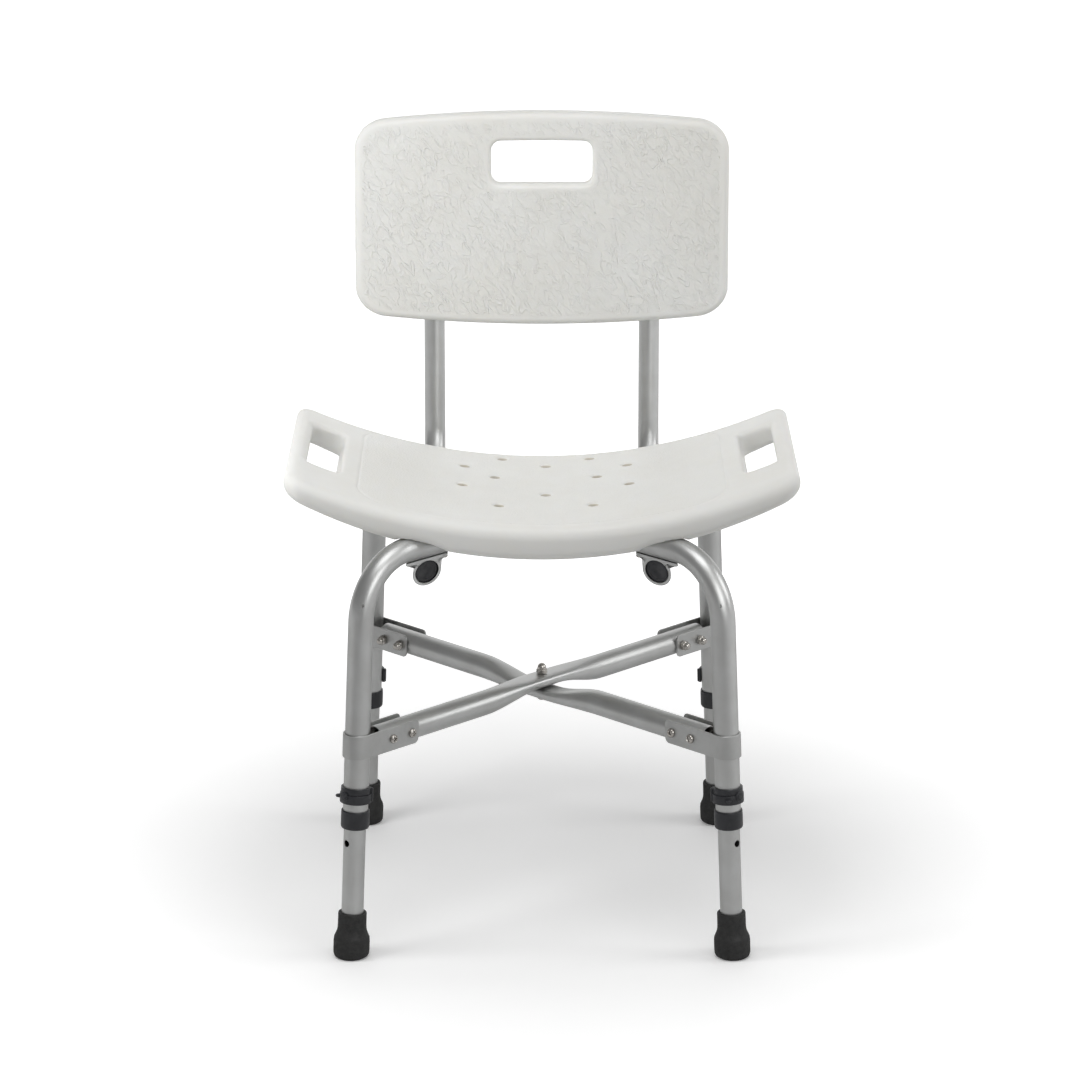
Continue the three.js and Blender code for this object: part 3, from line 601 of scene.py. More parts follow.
def seat_meshes():
    """The seat's upper and lower faces in plan, and the walls that join them."""
    outline = SEAT_PLAN.loop()
    slots, slots_below, top_loops, bottom_loops = [], [], [], []
    for side in (-1, 1):
        above, below = side * HANDLE_SLOT.x, side * (HANDLE_SLOT.x + SLOT_LEAN)
        slots.append(HANDLE_SLOT.loop(0, above))
        slots_below.append(HANDLE_SLOT.loop(0, below))
        top_loops += [HANDLE_SLOT.loop(depth, above) for depth in edge_depths(SLOT_LIP, 4)]
        bottom_loops += [HANDLE_SLOT.loop(depth, below) for depth in edge_depths(SLOT_LIP, 3)]
    drains = [circle_loop(x, y, DRAIN_RADIUS) for x, y in seat_holes()]
    dishes = [
        circle_loop(x, y, DRAIN_RADIUS + (DRAIN_DISH - DRAIN_RADIUS) * t)
        for x, y in seat_holes()
        for t in (0.25, 0.55, 1.0)
    ]
    borders = [TEXTURE_PANEL.loop(GROOVE_HALF_WIDTH * t) for t in (-1, -0.5, 0, 0.5, 1)]
    rims = [SEAT_PLAN.loop(-depth) for depth in edge_depths(SEAT_TOP_EDGE, 7)]
    top = flat_mesh(outline, slots + drains, rims + top_loops + dishes + borders, [], 1.6)
    bottom_loops = [SEAT_PLAN.loop(-depth) for depth in edge_depths(SEAT_BOTTOM_EDGE, 5)] + bottom_loops
    offsets = [side * off for off in GROOVE_LINES for side in (-1, 1)] + [0]
    lines = diagonal_lines(offsets, MESH_SPACING)
    bottom = flat_mesh(outline, slots_below + drains, bottom_loops, lines, 1.5)
    walls = [(outline, outline, True, 2)] + [(a, b, False, 4) for a, b in zip(slots, slots_below)]
    walls += [(loop, loop, False, 3) for loop in drains]
    return top, bottom, walls


def build_seat():
    top, bottom, walls = seat_meshes()
    verts, faces = shell(top, bottom, seat_top_height, seat_bottom_height, walls)
    piece = new_piece("seat", verts, faces, "white_smooth", "frame", ORIGIN, 50)
    piece.data.materials.append(FINISHES["white_pebble"])
    piece.data.materials.append(FINISHES["white_painted_shade"])
    points = np.array(verts)
    holes = np.array(seat_holes())
    for index, polygon in enumerate(piece.data.polygons):
        x, y = points[list(polygon.vertices)].mean(axis=0)[:2]
        if index < len(top[1]) and TEXTURE_PANEL.distance(x, y) < -GROOVE_HALF_WIDTH / 2:
            polygon.material_index = 1
        # Faces round each drain hole take the darker tan finish: painted shade inside the holes.
        if np.hypot(holes[:, 0] - x, holes[:, 1] - y).min() < DRAIN_RADIUS + 1.1:
            polygon.material_index = 2


# ---------------------------------------------------------------- backrest
SLEEVE_X = 115.5
SLEEVE_Z = 385.5
BACK_LEAN = math.radians(4)
UPRIGHT_Y = 240
BACK_BEND_RADIUS = 60
UPRIGHT_LENGTH = 262
BACK_TUBE_RADIUS = 11.1
BACK_TUBE_WALL = 1.3
BACK_TUBE_BORE = 230
SOCKET_RADIUS = 11.5
PANEL_HEIGHT = 229
PANEL_PLAN = Rounded(200, PANEL_HEIGHT / 2, 32)
PANEL_BOTTOM = 111
PANEL_CROWN = 12
PANEL_FRONT = -15.5
PANEL_REAR = 14.5
PANEL_EDGE = 7.5
HAND_SLOT = Rounded(54, 23.5, 10, 0, PANEL_HEIGHT / 2 - 54)
HAND_SLOT_LIP = 5
BACK_SCREW_HEIGHTS = {"lower": 150, "upper": 232}
BACK_PLACE = (
    ORIGIN
    @ at(0, UPRIGHT_Y - BACK_BEND_RADIUS, SLEEVE_Z + BACK_BEND_RADIUS)
    @ turn(-BACK_LEAN, "X")
    @ at(0, BACK_BEND_RADIUS, 0)
)


def back_edge_drop(x, z):
    rim = edge_drop(-PANEL_PLAN.distance(x, z), PANEL_EDGE)
    return rim + edge_drop(HAND_SLOT.distance(x, z), HAND_SLOT_LIP)


def build_backrest():
    outline, slot = PANEL_PLAN.loop(), HAND_SLOT.loop()
    loops = [PANEL_PLAN.loop(-depth) for depth in edge_depths(PANEL_EDGE, 6)]
    loops += [HAND_SLOT.loop(depth) for depth in edge_depths(HAND_SLOT_LIP, 5)]
    front = flat_mesh(outline, [slot], loops, [], 1.6)
    rear = flat_mesh(outline, [slot], loops, [], 1.6, MESH_SPACING * 1.3)
    walls = [(outline, outline, True, 4), (slot, slot, False, 5)]
    verts, faces = shell(
        front,
        rear,
        lambda x, z: -PANEL_FRONT - back_edge_drop(x, z),
        lambda x, z: -PANEL_REAR + back_edge_drop(x, z),
        walls,
    )
    half = PANEL_PLAN.half_y
    crowned = []
    for x, z, depth in verts:
        scale = (half - PANEL_CROWN * (x / PANEL_PLAN.half_x) ** 2) / half
        crowned.append((x, -depth, z * scale + PANEL_BOTTOM + half))
    piece = new_piece("backrest", crowned, faces, "white_smooth", "back", BACK_PLACE, 50)
    piece.data.materials.append(FINISHES["white_leather"])
    points = np.array(verts)
    for polygon in piece.data.polygons[: len(front[1])]:
        x, z = points[list(polygon.vertices)].mean(axis=0)[:2]
        in_from_edge = -PANEL_PLAN.distance(x, z) > PANEL_EDGE + 2
        if in_from_edge and HAND_SLOT.distance(x, z) > HAND_SLOT_LIP + 1:
            polygon.material_index = 1
    sockets = []
    for side in SIDES.values():
        upright = BACK_PLACE @ at(side * SLEEVE_X, 0, 0)
        sockets.append(drill(SOCKET_RADIUS, 60, UPRIGHT_LENGTH + GAP, upright, 48))
    cut(piece, *sockets)


def back_stations():
    bend_z, bend_y = SLEEVE_Z + BACK_BEND_RADIUS, UPRIGHT_Y - BACK_BEND_RADIUS
    stations = [Station((0, y, SLEEVE_Z), (0, 1, 0)) for y in np.linspace(-80, bend_y - 8, 16)]
    steps = 26
    for i in range(steps + 1):
        angle = (i / steps) * (math.pi / 2 - BACK_LEAN)
        c, s = math.cos(angle), math.sin(angle)
        point = (0, bend_y + BACK_BEND_RADIUS * s, bend_z - BACK_BEND_RADIUS * c)
        squeeze = max(math.sin(math.pi * i / steps), 0) ** 0.6
        stations.append(Station(point, (0, c, s), across=1 + 0.02 * squeeze, along=1 - 0.06 * squeeze))
    last = stations[-1]
    for length in np.linspace(10, UPRIGHT_LENGTH, 14):
        stations.append(Station(last.point + last.direction * float(length), last.direction))
    return stations


def build_back_tubes():
    for name, side in SIDES.items():
        place = ORIGIN @ at(side * SLEEVE_X, 0, 0)
        sizes = (BACK_TUBE_RADIUS, BACK_TUBE_WALL, BACK_TUBE_BORE, 40)
        verts, faces, uvs = tube_mesh(back_stations(), (1, 0, 0), *sizes)
        node = f"back_tube_{name}"
        tube = new_piece(node, verts, faces, "aluminium", "back", place, uvs=uvs)
        cut(tube, drill(4.3, SLEEVE_Z - 14, SLEEVE_Z - 8, place @ at(0, BUTTON_Y, 0)))


# ---------------------------------------------------------------- sleeves, plugs and snap buttons
SLEEVE_RADIUS = 14
SLEEVE_BORE = 11.4
FLANGE_HALF_WIDTH = 20.7
FLANGE_TOP = 399.5
FLANGE_THICKNESS = 3
MITRE_OFFSET = 7
PLUG_RECESS = 2
PLUG_REAR = -98
BUTTON_Y = 92
SEAT_SCREW_X = 98.5


def sleeve_outline():
    """Outline of a sleeve's section as (x, z), from the flange's middle, clockwise seen from the front."""
    under = FLANGE_TOP - FLANGE_THICKNESS
    half = FLANGE_HALF_WIDTH
    meet = math.asin((under - SLEEVE_Z) / SLEEVE_RADIUS)
    tip = [(half - 1.4, FLANGE_TOP), (half - 0.5, FLANGE_TOP - 0.35), (half - 0.05, FLANGE_TOP - 1.1)]
    tip += [(half - 0.25, FLANGE_TOP - 1.9), (half - 1.3, FLANGE_TOP - 2.6)]
    root_x = SLEEVE_RADIUS * math.cos(meet)
    points = [(x, FLANGE_TOP) for x in np.linspace(0, half - 3, 8)] + tip
    points += [(x, under) for x in np.linspace(half - 2.6, root_x + 1.6, 4)] + [(root_x + 0.6, under - 0.3)]
    angles = np.linspace(meet - 0.1, -math.pi / 2, 26)
    points += [(SLEEVE_RADIUS * math.cos(a), SLEEVE_Z + SLEEVE_RADIUS * math.sin(a)) for a in angles]
    left = [(-x, z) for x, z in reversed(points[1:-1])]
    return points + left


def build_sleeves():
    outline = np.array(sleeve_outline())
    count = len(outline)
    angle = np.arctan2(outline[:, 1] - SLEEVE_Z, outline[:, 0])
    bore = np.column_stack([SLEEVE_BORE * np.cos(angle), SLEEVE_Z + SLEEVE_BORE * np.sin(angle)])
    for name, side in SIDES.items():
        def mitre(points, inward):
            return np.abs(points[:, 0] + side * SLEEVE_X) + MITRE_OFFSET - inward

        sections = []
        shrink = 0.35
        middle = np.array([0, SLEEVE_Z])
        chamfered = outline + (middle - outline) / np.linalg.norm(outline - middle, axis=1)[:, None] * shrink
        widened = bore + (bore - middle) / np.linalg.norm(bore - middle, axis=1)[:, None] * shrink
        for end in (-1, 1):
            face = [(outline, shrink), (chamfered, 0), (widened, 0), (bore, shrink)]
            rows = [np.column_stack([p[:, 0], end * mitre(p, inward), p[:, 1]]) for p, inward in face]
            sections.append(rows)
        front, rear = sections
        length_rows = [front[0]]
        for t in np.linspace(0, 1, 9)[1:-1]:
            length_rows.append(front[0] * (1 - t) + rear[0] * t)
        rings = length_rows + rear + [rear[3] * (1 - t) + front[3] * t for t in np.linspace(0, 1, 5)[1:-1]]
        rings += [front[3], front[2], front[1]]
        verts = [tuple(v) for ring in rings for v in ring]
        faces = grid_faces(len(rings), count)
        last = len(rings) - 1
        for j in range(count):
            k = (j + 1) % count
            faces.append((last * count + j, last * count + k, k, j))
        place = ORIGIN @ at(side * SLEEVE_X, 0, 0)
        node = f"back_sleeve_{name}"
        uvs = [(float(a) / 6.28, v[1] / 100) for ring in rings for a, v in zip(angle, ring)]
        piece = new_piece(node, verts, faces, "aluminium", "frame", place, 30, uvs)
        cut(piece, drill(4.4, SLEEVE_Z - 20, SLEEVE_Z - 9, place @ at(0, BUTTON_Y, 0)))
        build_plug(name, side, place)
        build_button(name, place)


def build_plug(name, side, place):
    sides, radius = 40, SLEEVE_BORE - GAP
    offset = MITRE_OFFSET - PLUG_RECESS
    rings = []
    profile = [(radius, 1.2), (radius - 0.35, 0.35), (radius - 1.2, 0), (radius - 3.2, 0)]
    profile += [(radius - 3.6, 0.5), (2.4, 0.5), (1.9, 0.9)]
    for r, back in profile:
        ring = []
        for j in range(sides):
            a = 2 * math.pi * j / sides
            x, z = r * math.cos(a), SLEEVE_Z + r * math.sin(a)
            ring.append((x, -(abs(x + side * SLEEVE_X) + offset - back), z))
        rings.append(ring)
    base = [(x, PLUG_REAR, z) for x, _, z in rings[0]]
    verts = base + [v for ring in rings for v in ring]
    faces = grid_faces(len(rings) + 1, sides)
    faces = [face[::-1] for face in faces + end_caps(verts, sides)[::-1]]
    node = f"sleeve_plug_{name}"
    new_piece(node, verts, faces, "black_plastic", "frame", place, 40)


def build_button(name, place):
    """A folded leaf spring whose round button stands out through the sleeve."""
    here = place @ at(0, BUTTON_Y, SLEEVE_Z)
    low = -9
    profile = [(0, -16), (1.2, -15.95), (2.6, -15.5), (3.6, -14.6), (4, -13.2), (4, low), (0, low)]
    button = turned(profile[::-1], 32)
    button = (button[0], [face[::-1] for face in button[1]])
    path = [(7, low + 0.4), (-8, low + 0.5), (-38, low + 1.4), (-44, low + 4)]
    path += [(-46, 0), (-44, 4), (-38, 7.2), (0, 8.2)]
    verts = []
    for i, (y, z) in enumerate(path):
        a, b = path[max(i - 1, 0)], path[min(i + 1, len(path) - 1)]
        direction = Vector((b[0] - a[0], b[1] - a[1])).normalized()
        ny, nz = -direction.y * 0.35, direction.x * 0.35
        verts += [(-3, y + ny, z + nz), (3, y + ny, z + nz), (3, y - ny, z - nz), (-3, y - ny, z - nz)]
    faces = grid_faces(len(path), 4)
    faces += end_caps(verts, 4)
    verts, faces = merged(moved(button, here), moved((verts, faces), here))
    node = f"snap_button_{name}"
    button = new_piece(node, verts, faces, "stainless", None, None, 40)
    flex(button)


# ---------------------------------------------------------------- legs
LEG_RADIUS = 11.2
LEG_BORE = 9.8
LEG_BOTTOM = 6
LEG_TOP = 275
HOLE_PITCH = 25.4
PIN_Z = 172.5
HOLE_RADIUS = 3.6
TO_OUTSIDE = turn(math.pi / 2, "Y")


def build_leg_tube(name, place):
    stations = [Station((0, 0, z), (0, 0, 1)) for z in np.linspace(LEG_BOTTOM, LEG_TOP, 54)]
    verts, faces, uvs = tube_mesh(stations, (1, 0, 0), LEG_RADIUS, LEG_RADIUS - LEG_BORE, None)
    node = f"leg_extension_{name}"
    tube = new_piece(node, verts, faces, "aluminium", f"leg_{name}", place, uvs=uvs)
    holes = []
    for i in range(-2, 4):
        here = at(0, 0, PIN_Z + i * HOLE_PITCH) @ TO_OUTSIDE
        holes.append(drill(HOLE_RADIUS, 5, 14, place @ here, 28))
    cut(tube, *holes)


def foot_profile():
    points = [(0, 0), (15.2, 0), (15.2, 0.5), (17.2, 1.4), (18.4, 4), (18.6, 7), (18.6, 17), (18.3, 20)]
    points += [(17.6, 21.8), (16.2, 24.6), (15.2, 27.4), (14.7, 30), (14.55, 33), (14.5, 45.6), (14.2, 46.7)]
    points += [(13.4, 47), (12, 47), (11.5, 46.5), (11.5, 30)]
    return points + [(11.5, LEG_BOTTOM - GAP), (0, LEG_BOTTOM - GAP)]


def build_foot(name, place):
    """A moulded rubber ferrule: faint facets round the base, its sole level with the floor."""
    sides, facets = 72, 12
    profile = foot_profile()
    verts, faces = turned(profile, sides)
    shaped = []
    for x, y, z in verts:
        r = math.hypot(x, y)
        if r > 15 and 3 < z < 24:
            angle = math.atan2(y, x)
            lobe = math.cos(facets * angle)
            scale = 1 - 0.012 * (0.5 - 0.5 * lobe)
            x, y = x * scale, y * scale
        shaped.append((x, y, z))
    world = [place @ Vector(v) for v in shaped]
    settled = []
    for v, (x, y, z) in zip(world, shaped):
        if z < 7:
            low = z * math.cos(LEG_LEAN)
            v = Vector((v.x, v.y, low + (v.z - low) * smooth(z / 7)))
        settled.append(tuple(v))
    node = f"foot_{name}"
    new_piece(node, settled, faces, "rubber", f"leg_{name}", None, 40)


def smooth(t):
    t = min(max(t, 0), 1)
    return t * t * (3 - 2 * t)


def build_collar(name, place):
    """A split plastic bush pressed on the end of the outer tube."""
    profile = [(11.5, 141.2), (11.5, 137.6), (11.9, 137), (12.8, 137), (13.7, 137.4), (14.3, 138.5)]
    profile += [(14.45, 140), (14.45, 151), (14.3, 154.2), (14.15, 155.6), (13.8, 156), (13.3, 156)]
    profile += [(13, 155.7), (13, 141.2)]
    profile.append(profile[0])
    part = turned(profile, 56)
    node = f"leg_collar_{name}"
    new_piece(node, *part, "black_plastic", "frame", place, 40)


def band(radius_inner, radius_outer, low, high, sweep, edge=0.5, steps=40):
    """An open ring about +Z with rounded edges, centred on +X."""
    section = []
    for z, inward in ((low, 1), (high, -1)):
        rim = [(radius_inner, z), (radius_outer - edge, z), (radius_outer - 0.15, z + inward * 0.15)]
        rim.append((radius_outer, z + inward * edge))
        section += rim[::inward]
    verts = []
    for i in range(steps + 1):
        a = -sweep + 2 * sweep * i / steps
        verts += [(r * math.cos(a), r * math.sin(a), z) for r, z in section]
    faces = grid_faces(steps + 1, len(section))
    faces += end_caps(verts, len(section))
    return verts, [face[::-1] for face in faces]


def rounded_block(size, corner, steps=3):
    """A block with rounded vertical and top edges, standing on its own centre."""
    hx, hy, hz = (s / 2 for s in size)
    rings = []
    levels = [(-hz, corner * 0.6), (-hz + corner * 0.2, corner * 0.2), (-hz + corner * 0.6, 0)]
    levels += [(hz - corner * 0.6, 0), (hz - corner * 0.2, corner * 0.2), (hz, corner * 0.6)]
    verts = []
    for z, inset in levels:
        loop = []
        for cx, cy, start in ((1, -1, -90), (1, 1, 0), (-1, 1, 90), (-1, -1, 180)):
            for k in range(steps + 1):
                a = math.radians(start + 90 * k / steps)
                r = max(corner - inset, 0.05)
                loop.append((cx * (hx - corner) + r * math.cos(a), cy * (hy - corner) + r * math.sin(a), z))
        rings.append(loop)
        verts += loop
    count = len(rings[0])
    faces = grid_faces(len(rings), count)
    faces += end_caps(verts, count)
    return verts, faces


def build_clip(name, place):
    """A spring band in two tiers with a finger nub, and its locking pin on the outward side."""
    here = place @ at(0, 0, PIN_Z)
    sweep = math.radians(136)
    parts = [band(13.05, 16.1, -8, 1.6, sweep), band(13.05, 15.2, 1.6, 7.9, sweep)]
    pin_profile = [(0, 11.4), (2.3, 11.4), (3, 12.0), (3, 16.4), (2.8, 16.75), (2.3, 16.9), (0, 16.9)]
    parts.append(moved(turned(pin_profile, 28), TO_OUTSIDE))
    boss = [(0, 13.2), (4.9, 13.2), (4.9, 16.2), (4.5, 16.5), (3.3, 16.5), (3.2, 16.2), (0, 16.2)]
    parts.append(moved(turned(boss, 32), TO_OUTSIDE))
    nub = [(0, 12), (3.1, 12), (3.1, 15), (2.6, 16.6), (2.1, 18.4), (1.8, 19.6), (1.2, 20.2), (0, 20.4)]
    angle = turn(math.radians(-45), "Z") @ at(0, 0, -2.6) @ TO_OUTSIDE
    parts.append(moved(turned(nub, 24), angle @ Matrix.Diagonal((0.8, 1.15, 1, 1))))
    for side in (-1, 1):
        end = turn(side * (sweep - 0.1), "Z") @ at(15.2, 0, -0.2)
        parts.append(moved(rounded_block((4.2, 3.4, 14.4), 0.8), end))
    verts, faces = moved(merged(*parts), here)
    node = f"leg_clip_{name}"
    clip = new_piece(node, verts, faces, "black_plastic", None, None, 40)
    flex(clip)


# ---------------------------------------------------------------- fasteners, along +Z with the head up
SCREWS = {  # head radius, head height, shank radius
    "bracket": (4.7, 3.0, 2.5),
    "cross": (5, 3.7, 3),
    "seat": (3.5, 2.7, 2),
    "backrest": (4.2, 2.8, 2.5),
}
NUTS = {  # half the width across flats, hexagon height, dome radius, whole height, bore radius
    "bracket": (4.75, 4.2, 4.2, 9.0, 2.8),
    "cross": (5, 5, 4.6, 11, 3.3),
}
SEAT_SCREW_TOP = 438


def pan_head_screw(head, head_height, shank, length):
    profile = [(0, -length), (shank - 0.4, -length), (shank, -length + 0.5), (shank, 0)]
    profile += [(head - 0.15, 0), (head, 0.2)]
    for k in range(0, 9):
        a = math.pi / 2 * k / 8
        profile.append((head * (0.3 + 0.7 * math.cos(a) ** 0.6), 0.35 + (head_height - 0.35) * math.sin(a)))
    profile.append((0, head_height))
    return turned(profile, 40)


def cross_recess(head, head_height):
    """The tapering cross that a screwdriver enters."""
    parts = []
    levels = ((0.5, 0.62, 0.135), (-1.2, 0.4, 0.1), (-2, 0.08, 0.08))
    for angle in (0, math.pi / 2):
        rows = []
        for rise, length, width in levels:
            x, y, z = head * length, head * width, head_height + rise
            rows += [(x, y, z), (-x, y, z), (-x, -y, z), (x, -y, z)]
        faces = [face[::-1] for face in grid_faces(3, 4)] + [(0, 1, 2, 3), (11, 10, 9, 8)]
        parts.append(moved((rows, faces), turn(angle, "Z")))
    return parts


def acorn_nut(flat_radius, hex_height, dome, height, bore):
    """A domed nut on its seat: a chamfered hexagon under a pointed cap."""
    sides = 72
    corner = flat_radius / math.cos(math.pi / 6)

    def hex_radius(angle):
        inner = (angle + math.pi / 6) % (math.pi / 3) - math.pi / 6
        return flat_radius / math.cos(inner)

    rings = [(bore, 1.0, False), (bore, 0.15, False), (bore + 0.3, 0, False), (flat_radius * 0.97, 0, True)]
    rings += [(corner, 0.5, True), (corner, hex_height - 0.9, True)]
    rings += [(flat_radius * 1.03, hex_height - 0.3, True), (dome + 0.35, hex_height, True)]
    rings.append((dome + 0.05, hex_height + 0.15, True))
    for k in range(0, 10):
        t = k / 10
        rings.append((dome * math.sqrt(1 - t**2.2), hex_height + 0.4 + (height - hex_height - 0.4) * t, True))
    rings.append((dome * 0.12, height - 0.02, True))
    verts = []
    for limit, z, outer in rings:
        for j in range(sides):
            a = 2 * math.pi * j / sides
            r = min(limit, hex_radius(a)) if outer else limit
            verts.append((r * math.cos(a), r * math.sin(a), z))
    faces = grid_faces(len(rings), sides)
    faces += end_caps(verts, sides)
    return verts, faces


def place_screw(node, kind, body, place, length):
    head, height, shank = SCREWS[kind]
    part = moved(pan_head_screw(head, height, shank, length), place)
    piece = new_piece(node, *part, "stainless", body, place=None)
    cut(piece, *[moved(tool, place) for tool in cross_recess(head, height)])


def build_brackets():
    """Straps bent round the legs, their ears screwed through the braces."""
    for name in CORNERS:
        build_strap(name)
        head_side = HEAD_SIDE[name]
        for spot, x in BRACKET_SCREWS.items():
            base = corner_place(name) @ at(x, 0, BRACE_Z)
            seat_face = STRAP["outer"] + GAP
            head, tail = (
                base
                @ turn(side * math.pi / 2, "X")
                @ at(0, 0, seat_face)
                @ turn(angle, "Z")
                for side, angle in ((-head_side, 0.5 + 1.3 * x), (head_side, 0.3 + x))
            )
            node = f"bracket_screw_{name}_{spot}"
            place_screw(node, "bracket", "frame", head, 2 * seat_face + 4.6)
            part = moved(acorn_nut(*NUTS["bracket"]), tail)
            node = f"bracket_nut_{name}_{spot}"
            new_piece(node, *part, "stainless", "frame", None, 28)


STRAP = {"height": 24.4, "inner": 13, "outer": 14.8, "ear_end": 191, "corner": 4.5}


def build_strap(name):
    """Rings of a rounded sheet section swept round the leg; the ears' outer corners are rounded."""
    inner, outer, half = STRAP["inner"], STRAP["outer"], STRAP["height"] / 2
    leg_x = FOOT_REACH - BRACE_Z * math.tan(LEG_LEAN)
    ear_end, corner = STRAP["ear_end"], STRAP["corner"]
    path = []
    ear = [ear_end + corner * (1 - math.cos(math.pi / 2 * k / 8)) for k in range(9)]
    ear += list(np.linspace(ear_end + corner, leg_x, 14))[1:]
    for x in ear:
        path.append((x, (0, -1), x - ear_end))
    for k in range(1, 24):
        a = -math.pi / 2 + math.pi * k / 24
        path.append((leg_x, (math.cos(a), math.sin(a)), corner))
    for x in reversed(ear):
        path.append((x, (0, 1), x - ear_end))
    edge = 0.35
    verts = []
    for x, normal, from_end in path:
        inset = corner - math.sqrt(max(corner**2 - max(corner - from_end, 0) ** 2, 0))
        high = half - inset
        section = [(inner, high - edge), (inner + edge, high), (outer - edge, high), (outer, high - edge)]
        section += [(r, -z) for r, z in reversed(section)]
        for r, z in section:
            verts.append((x + normal[0] * r, normal[1] * r, BRACE_Z + z))
    faces = grid_faces(len(path), len(section))
    faces += end_caps(verts, len(section))
    leaned = [(x - (z - BRACE_Z) * math.tan(LEG_LEAN), y, z) for x, y, z in verts]
    node = f"brace_bracket_{name}"
    place = corner_place(name)
    piece = new_piece(node, leaned, faces, "aluminium_sheet", "frame", place, 35)
    tools = []
    for x in BRACKET_SCREWS.values():
        across = place @ at(x, 0, BRACE_Z) @ turn(math.pi / 2, "X")
        tools.append(drill(2.9, -20, 20, across, 24))
    cut(piece, *tools)


def build_cross_fasteners():
    half = FLAT_HEIGHT + GAP / 2 + GAP
    under = ORIGIN @ at(0, 0, BRACE_Z - half) @ turn(math.pi, "X")
    place_screw("cross_bolt", "cross", "frame", under, 2 * half + 5)
    top = ORIGIN @ at(0, 0, BRACE_Z + half) @ turn(0.35, "Z")
    part = moved(acorn_nut(*NUTS["cross"]), top)
    new_piece("cross_nut", *part, "stainless", "frame", None, 28)


def build_seat_screws():
    level = FLANGE_TOP - FLANGE_THICKNESS - GAP
    for name in CORNERS:
        place = corner_place(name) @ at(SEAT_SCREW_X * math.sqrt(2), 0, level)
        place = place @ turn(math.pi, "X")
        node = f"seat_screw_{name}"
        place_screw(node, "seat", "frame", place, SEAT_SCREW_TOP - level)


def build_back_screws():
    for name, side in SIDES.items():
        for spot, height in BACK_SCREW_HEIGHTS.items():
            place = BACK_PLACE @ at(side * SLEEVE_X, PANEL_REAR + 0.1, height)
            place = place @ turn(-math.pi / 2, "X") @ turn(0.4 * height, "Z")
            node = f"backrest_screw_{name}_{spot}"
            place_screw(node, "backrest", "back", place, PANEL_REAR + BACK_TUBE_RADIUS)


# ---------------------------------------------------------------- materials
class Nodes:
    """A node tree, with helpers that add to it."""

    def __init__(self, tree):
        self.tree = tree

    def node(self, kind, **values):
        node = self.tree.nodes.new(kind)
        for key, value in values.items():
            if key in node.inputs:
                node.inputs[key].default_value = value
            else:
                setattr(node, key, value)
        return node

    def link(self, source, target):
        self.tree.links.new(source, target)

    def math(self, operation, *values):
        node = self.node("ShaderNodeMath", operation=operation)
        for socket, value in zip(node.inputs, values):
            if isinstance(value, (int, float)):
                socket.default_value = value
            else:
                self.link(value, socket)
        return node.outputs[0]

    def remap(self, value, low, high, to_low, to_high):
        node = self.node("ShaderNodeMapRange")
        for key, number in (("From Min", low), ("From Max", high), ("To Min", to_low), ("To Max", to_high)):
            node.inputs[key].default_value = number
        self.link(value, node.inputs["Value"])
        return node.outputs["Result"]

    def split(self, vector):
        node = self.node("ShaderNodeSeparateXYZ")
        self.link(vector, node.inputs[0])
        return node.outputs

    def camera_ray(self):
        return self.node("ShaderNodeLightPath").outputs["Is Camera Ray"]


class Finish(Nodes):
    """A principled surface, with helpers that add noise to its colour, gloss and bump."""

    def __init__(self, name, color, roughness, metallic=0.0, **sockets):
        self.material = bpy.data.materials.new(f"{name}_finish")
        self.material.use_nodes = True
        super().__init__(self.material.node_tree)
        self.shader = self.tree.nodes["Principled BSDF"]
        self.shader.inputs["Base Color"].default_value = (*color, 1)
        self.shader.inputs["Roughness"].default_value = roughness
        self.shader.inputs["Metallic"].default_value = metallic
        for socket, value in sockets.items():
            self.shader.inputs[socket.replace("_", " ")].default_value = value
        self.material.diffuse_color = (*color, 1)
        self.place = self.node("ShaderNodeTexCoord").outputs["Object"]
        self.normal = None

    def noise(self, scale, detail=3.0, roughness=0.5, where=None):
        node = self.node("ShaderNodeTexNoise", Scale=scale, Detail=detail, Roughness=roughness)
        self.link(where or self.place, node.inputs["Vector"])
        return node.outputs["Fac"]

    def vary_color(self, color_a, color_b, value):
        mix = self.node("ShaderNodeMix", data_type="RGBA")
        mix.inputs["A"].default_value = (*color_a, 1)
        mix.inputs["B"].default_value = (*color_b, 1)
        self.link(self.remap(value, 0.35, 0.65, 0, 1), mix.inputs["Factor"])
        self.link(mix.outputs["Result"], self.shader.inputs["Base Color"])

    def vary_roughness(self, value, to_low, to_high):
        self.link(self.remap(value, 0.3, 0.7, to_low, to_high), self.shader.inputs["Roughness"])

    def bump(self, height, strength, distance_mm):
        """Adds a bump to those already there."""
        node = self.node("ShaderNodeBump", Strength=strength, Distance=distance_mm * MM)
        self.link(height, node.inputs["Height"])
        if self.normal is not None:
            self.link(self.normal, node.inputs["Normal"])
        self.normal = node.outputs["Normal"]
        self.link(self.normal, self.shader.inputs["Normal"])


WHITE = (0.80, 0.80, 0.775)
WHITE_WARM = (0.775, 0.77, 0.735)
# Darker tan tones for the drain holes' walls and rims: painted shade, standing in for the shade inside the
# narrow holes.
PAINTED_SHADE_TONES = ((0.58, 0.54, 0.46), (0.64, 0.60, 0.52))


